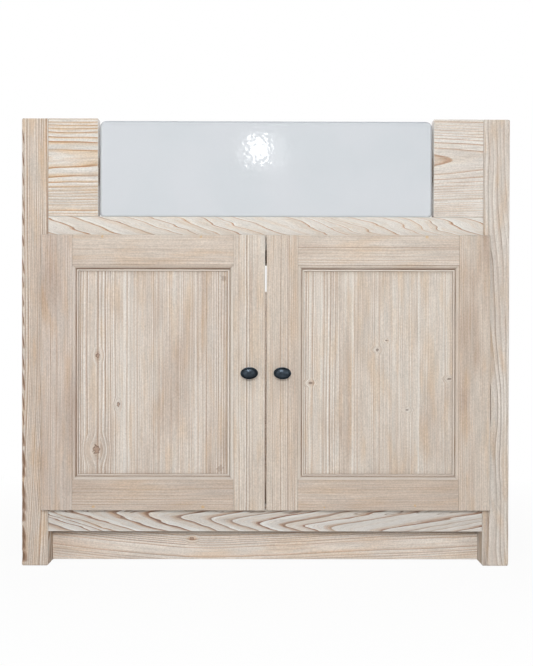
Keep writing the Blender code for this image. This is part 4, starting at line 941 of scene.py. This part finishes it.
# waste: flanged body with a dished mouth and cut threads, seal, lugged back nut, and the basket
waste = {
    "body": [(50.3, 711.3), (55.5, 711.3), (56, 710.8), (56, 709.7), (55.6, 709.3), (42, 709.3), (42, 683)],
    "bodyThread": (681, 657, 2.0, 42, 41.2),  # from, to, pitch, crest, root
    "cone": [(42, 655.2), (41.2, 654), (22.2, 640.8), (21, 639.6), (21, 623)],
    "tailThread": (622, 606, 2.0, 21, 20.2),
    "bore": [(21, 604.6), (20.5, 604), (19, 604), (19, 641.6), (19.6, 642.5), (39.4, 655.6), (40, 656.6),
             (40, 705), (40.3, 705.5), (49.4, 710.9), (50.3, 711.3)],
    "seal": [(42.3, 683.9), (42.3, 687.4), (42.6, 687.7), (57, 687.7), (58, 686.9), (58, 684.5), (57, 683.7),
             (42.5, 683.7), (42.3, 683.9)],
    "nut": [(42.3, 671.8), (42.3, 683), (42.7, 683.4), (51.6, 683.4), (52.2, 682.8), (52.2, 672), (51.6, 671.4),
            (42.7, 671.4), (42.3, 671.8)],
    "lug": (8, 56),  # how many, and how far they reach
    "basket": [(0, 720.9), (3, 720.8), (5.66, 720.5), (7.3, 719.6), (8, 718.2), (7.7, 717.2), (6, 716.9),
               (3.4, 716.4), (3, 715.6), (3, 686), (3.6, 684.9), (5, 684.1), (33.6, 684.1), (35.2, 684.8),
               (35.8, 686.4), (35.8, 706.6), (36.4, 708.2), (37.8, 708.9), (43, 708.9), (43.5, 708.4),
               (43.5, 708.1), (43.1, 707.7), (38.4, 707.7), (37.3, 707.1), (37, 705.8), (37, 686), (36.2, 683.8),
               (34, 682.9), (0, 682.9)],
    "holes": ((8, 23, 4.0, 0.5), (8, 12.5, 2.2, 0.0)),  # how many, ring, radius, share of a step
    "drill": (683.5, 4, 20),  # its middle, length and sides
    "steps": 96,
    "smooth": 35,  # degrees
    "kinds": {"waste_body": "polished_steel", "waste_seal": "black_rubber", "waste_nut": "nickelled_steel",
              "strainer_basket": "polished_steel"},
}


def threadOf(start, stop, pitch, crest, root):
    points = []
    while start > stop:
        points += [(crest, start), (crest, start - 0.25 * pitch),
                   (root, start - 0.5 * pitch), (root, start - 0.75 * pitch)]
        start -= pitch
    return points


# lugs grow out of the nut's outer faces, over half of each share of the round
def growLugs(nut, count, reach):
    lugs = []
    for face in nut.faces:
        spot = face.calc_center_median()
        share = (math.atan2(spot.y, spot.x) / math.tau * count) % 1.0
        upright = abs(face.normal.z) < 0.3 and face.calc_area() > 2e-6  # leaves out the eased edges
        if upright and face.normal.xy.dot(spot.xy) > 0 and share < 0.5:
            lugs.append(face)
    grown = bmesh.ops.extrude_face_region(nut, geom=lugs)["geom"]
    for vert in (g for g in grown if isinstance(g, bmesh.types.BMVert)):
        vert.co.xy *= reach * mm / vert.co.xy.length
    bmesh.ops.recalc_face_normals(nut, faces=nut.faces)


def drillOf(w):
    level, long, sides = w["drill"]
    shape = bmesh.new()
    for count, ring, radius, share in w["holes"]:
        for index in range(count):
            angle = math.tau * (index + share) / count
            spot = Vector((math.cos(angle) * ring, math.sin(angle) * ring, level)) * mm
            bmesh.ops.create_cone(shape, cap_ends=True, segments=sides, radius1=radius * mm, radius2=radius * mm,
                                  depth=long * mm, matrix=Matrix.Translation(spot))
    return makePiece("basketDrill", shape)


def makeWaste(w):
    low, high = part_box("waste_body")
    centre = (low + high) / 2
    body = w["body"] + threadOf(*w["bodyThread"]) + w["cone"] + threadOf(*w["tailThread"]) + w["bore"]
    made = {"waste_body": body, "waste_seal": w["seal"], "waste_nut": w["nut"], "strainer_basket": w["basket"]}
    for node, points in made.items():
        shape = lathe(points, w["steps"])
        if node == "waste_nut":
            growLugs(shape, *w["lug"])
        piece = makePiece("turned_" + node, shape)
        if node == "strainer_basket":
            piece.data = cutOut(piece, drillOf(w))
        piece.data.transform(Matrix.Translation((centre.x, centre.y, 0)))
        piece.data.shade_smooth()
        piece.data.set_sharp_from_angle(angle=math.radians(w["smooth"]))
        carry(piece, w["kinds"][node], "strainer_basket" if node == "strainer_basket" else "cabinet", node)


makeWaste(waste)
print("waste made")

# knob: a turned foot and neck that flow into an oval head, a thin rim and a low dome
knob = {
    "points": [(0, 0.3), (7.6, 0.3), (8, 0.7), (8, 1.7), (7.4, 2.5), (6.0, 3.4), (5.2, 4.8), (5.0, 7), (5.1, 9.5),
               (5.8, 11.8), (7.2, 13.4), (8.8, 14.3), (10.6, 15.8), (11.5, 16.9), (11.75, 17.8), (11.75, 18.8),
               (11.45, 19.6), (10.9, 20.0), (10.35, 20.1)],
    "dome": [(10.1, 20.6), (9.8, 21.8), (9.2, 23.2), (8.4, 24.3), (7.5, 25.1), (6.5, 25.75), (5.5, 26.3),
             (4.4, 26.85), (3.2, 27.4), (1.7, 27.85), (0, 28)],
    "oval": 34 / 23.5,
    "stretch": (7, 15),  # mm from the door between which the round neck turns oval
    "lean": {"left": 1.9, "right": -1.2},  # degrees that each was left turned
    "steps": 64,
    "smooth": 40,
}


def makeKnob(word, k):
    low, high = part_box(word + "_door_knob")
    shape = lathe(k["points"] + k["dome"], k["steps"])
    near, far = k["stretch"]
    for vert in shape.verts:
        share = min(max((vert.co.z / mm - near) / (far - near), 0), 1)
        vert.co.x *= 1 + (k["oval"] - 1) * share * share * (3 - 2 * share)
    seat = Vector(((low.x + high.x) / 2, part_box(word + "_door_meeting_stile")[0].y, (low.z + high.z) / 2))
    spot = Matrix.Translation(seat) @ Matrix.Rotation(math.radians(-k["lean"][word]), 4, "Y")
    bmesh.ops.transform(shape, matrix=spot @ Matrix.Rotation(math.pi / 2, 4, "X"), verts=shape.verts)
    piece = makePiece(word + "_oval_knob", shape, k["smooth"])
    ironwork.objects.link(piece)
    carry(piece, "black_iron", word + "_door", word + "_door_knob")


# screws: low domed heads with a crossed slot
screw = {
    "head": [(0, 0.75), (0.9, 0.72), (1.9, 0.52), (2.7, 0.2), (3.0, 0.0), (3.0, -0.15), (0, -0.15)],
    "slot": (3.0, 0.7, 0.5),  # long, wide, deep
    "slotTop": 0.8,
    "steps": 32,
    "smooth": 30,  # degrees
}


def screwMesh(s):
    head = makePiece("screwHead", lathe(s["head"], s["steps"]))
    cross = bmesh.new()
    long, wide, deep = (v * mm for v in s["slot"])
    for size in ((long, wide, 2 * deep), (wide, long, 2 * deep)):
        verts = bmesh.ops.create_cube(cross, size=1.0)["verts"]
        bmesh.ops.scale(cross, vec=size, verts=verts)
        bmesh.ops.translate(cross, vec=(0, 0, s["slotTop"] * mm), verts=verts)
    mesh = cutOut(head, makePiece("screwSlot", cross), use_self=True)
    bpy.data.objects.remove(head, do_unlink=True)
    return mesh


# points on a surface and the way each head faces, made as one piece
def driveScrews(name, mesh, spots, body):
    shape = bmesh.new()
    for place, way, spin in spots:
        part = mesh.copy()
        faced = Vector(way).to_track_quat("Z", "Y").to_matrix().to_4x4()
        part.transform(Matrix.Translation(place) @ faced @ Matrix.Rotation(math.radians(spin), 4, "Z"))
        shape.from_mesh(part)
        bpy.data.meshes.remove(part)
    carry(makePiece(name, shape, screw["smooth"]), "nickelled_steel", body)


# bumpers: low clear domes stuck to the doors' backs
bumper = {"points": [(0, 1.9), (1.0, 1.82), (1.9, 1.5), (2.6, 0.95), (3.0, 0.3), (3.0, 0.0), (0, 0.0)], "steps": 32,
          "smooth": 50}


def makeBumper(word, row, b):
    node = word + "_" + row + "_bumper"
    low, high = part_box(node)
    shape = lathe(b["points"], b["steps"])
    seat = Vector(((low.x + high.x) / 2, low.y, (low.z + high.z) / 2))
    spot = Matrix.Translation(seat) @ Matrix.Rotation(-math.pi / 2, 4, "X")
    bmesh.ops.transform(shape, matrix=spot, verts=shape.verts)
    piece = makePiece(word + "_" + row + "_domed_bumper", shape, b["smooth"])
    carry(piece, "clear_rubber", word + "_door", node)


# hinges: two screws in each housing's flange and two in each arm's plate
hinge = {
    "flange": (14, 24.5),  # mm in from the housing's inner edge, and up and down from its middle
    "plate": (17, 14),  # mm forward of the arm's end, and up and down
    "plateThick": 2.5,
    "spins": (20, 65, 110, 5),  # degrees that each cross was left turned
}


def screwHinge(word, sign, row, h, mesh):
    start = word + "_" + row + "_hinge_"
    low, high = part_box(start + "housing")
    level = (low.z + high.z) / 2
    inset, reach = h["flange"]
    edge = sign * (min(abs(low.x), abs(high.x)) + inset * mm)
    spots = [((edge, high.y, level + up * reach * mm), (0, 1, 0), spin) for up, spin in zip((-1, 1), h["spins"])]
    driveScrews(start + "flange_screws", mesh, spots, word + "_door")
    low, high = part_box(start + "arm")
    inset, reach = h["plate"]
    face = sign * (max(abs(low.x), abs(high.x)) - h["plateThick"] * mm)
    spots = [((face, high.y - inset * mm, level + up * reach * mm), (-sign, 0, 0), spin)
             for up, spin in zip((-1, 1), h["spins"][2:])]
    driveScrews(start + "plate_screws", mesh, spots, "cabinet")


smallScrew = screwMesh(screw)
for word, sign in (("left", -1), ("right", 1)):
    makeKnob(word, knob)
    for row in ("upper", "lower"):
        makeBumper(word, row, bumper)
        screwHinge(word, sign, row, hinge, smallScrew)
print("ironwork made")
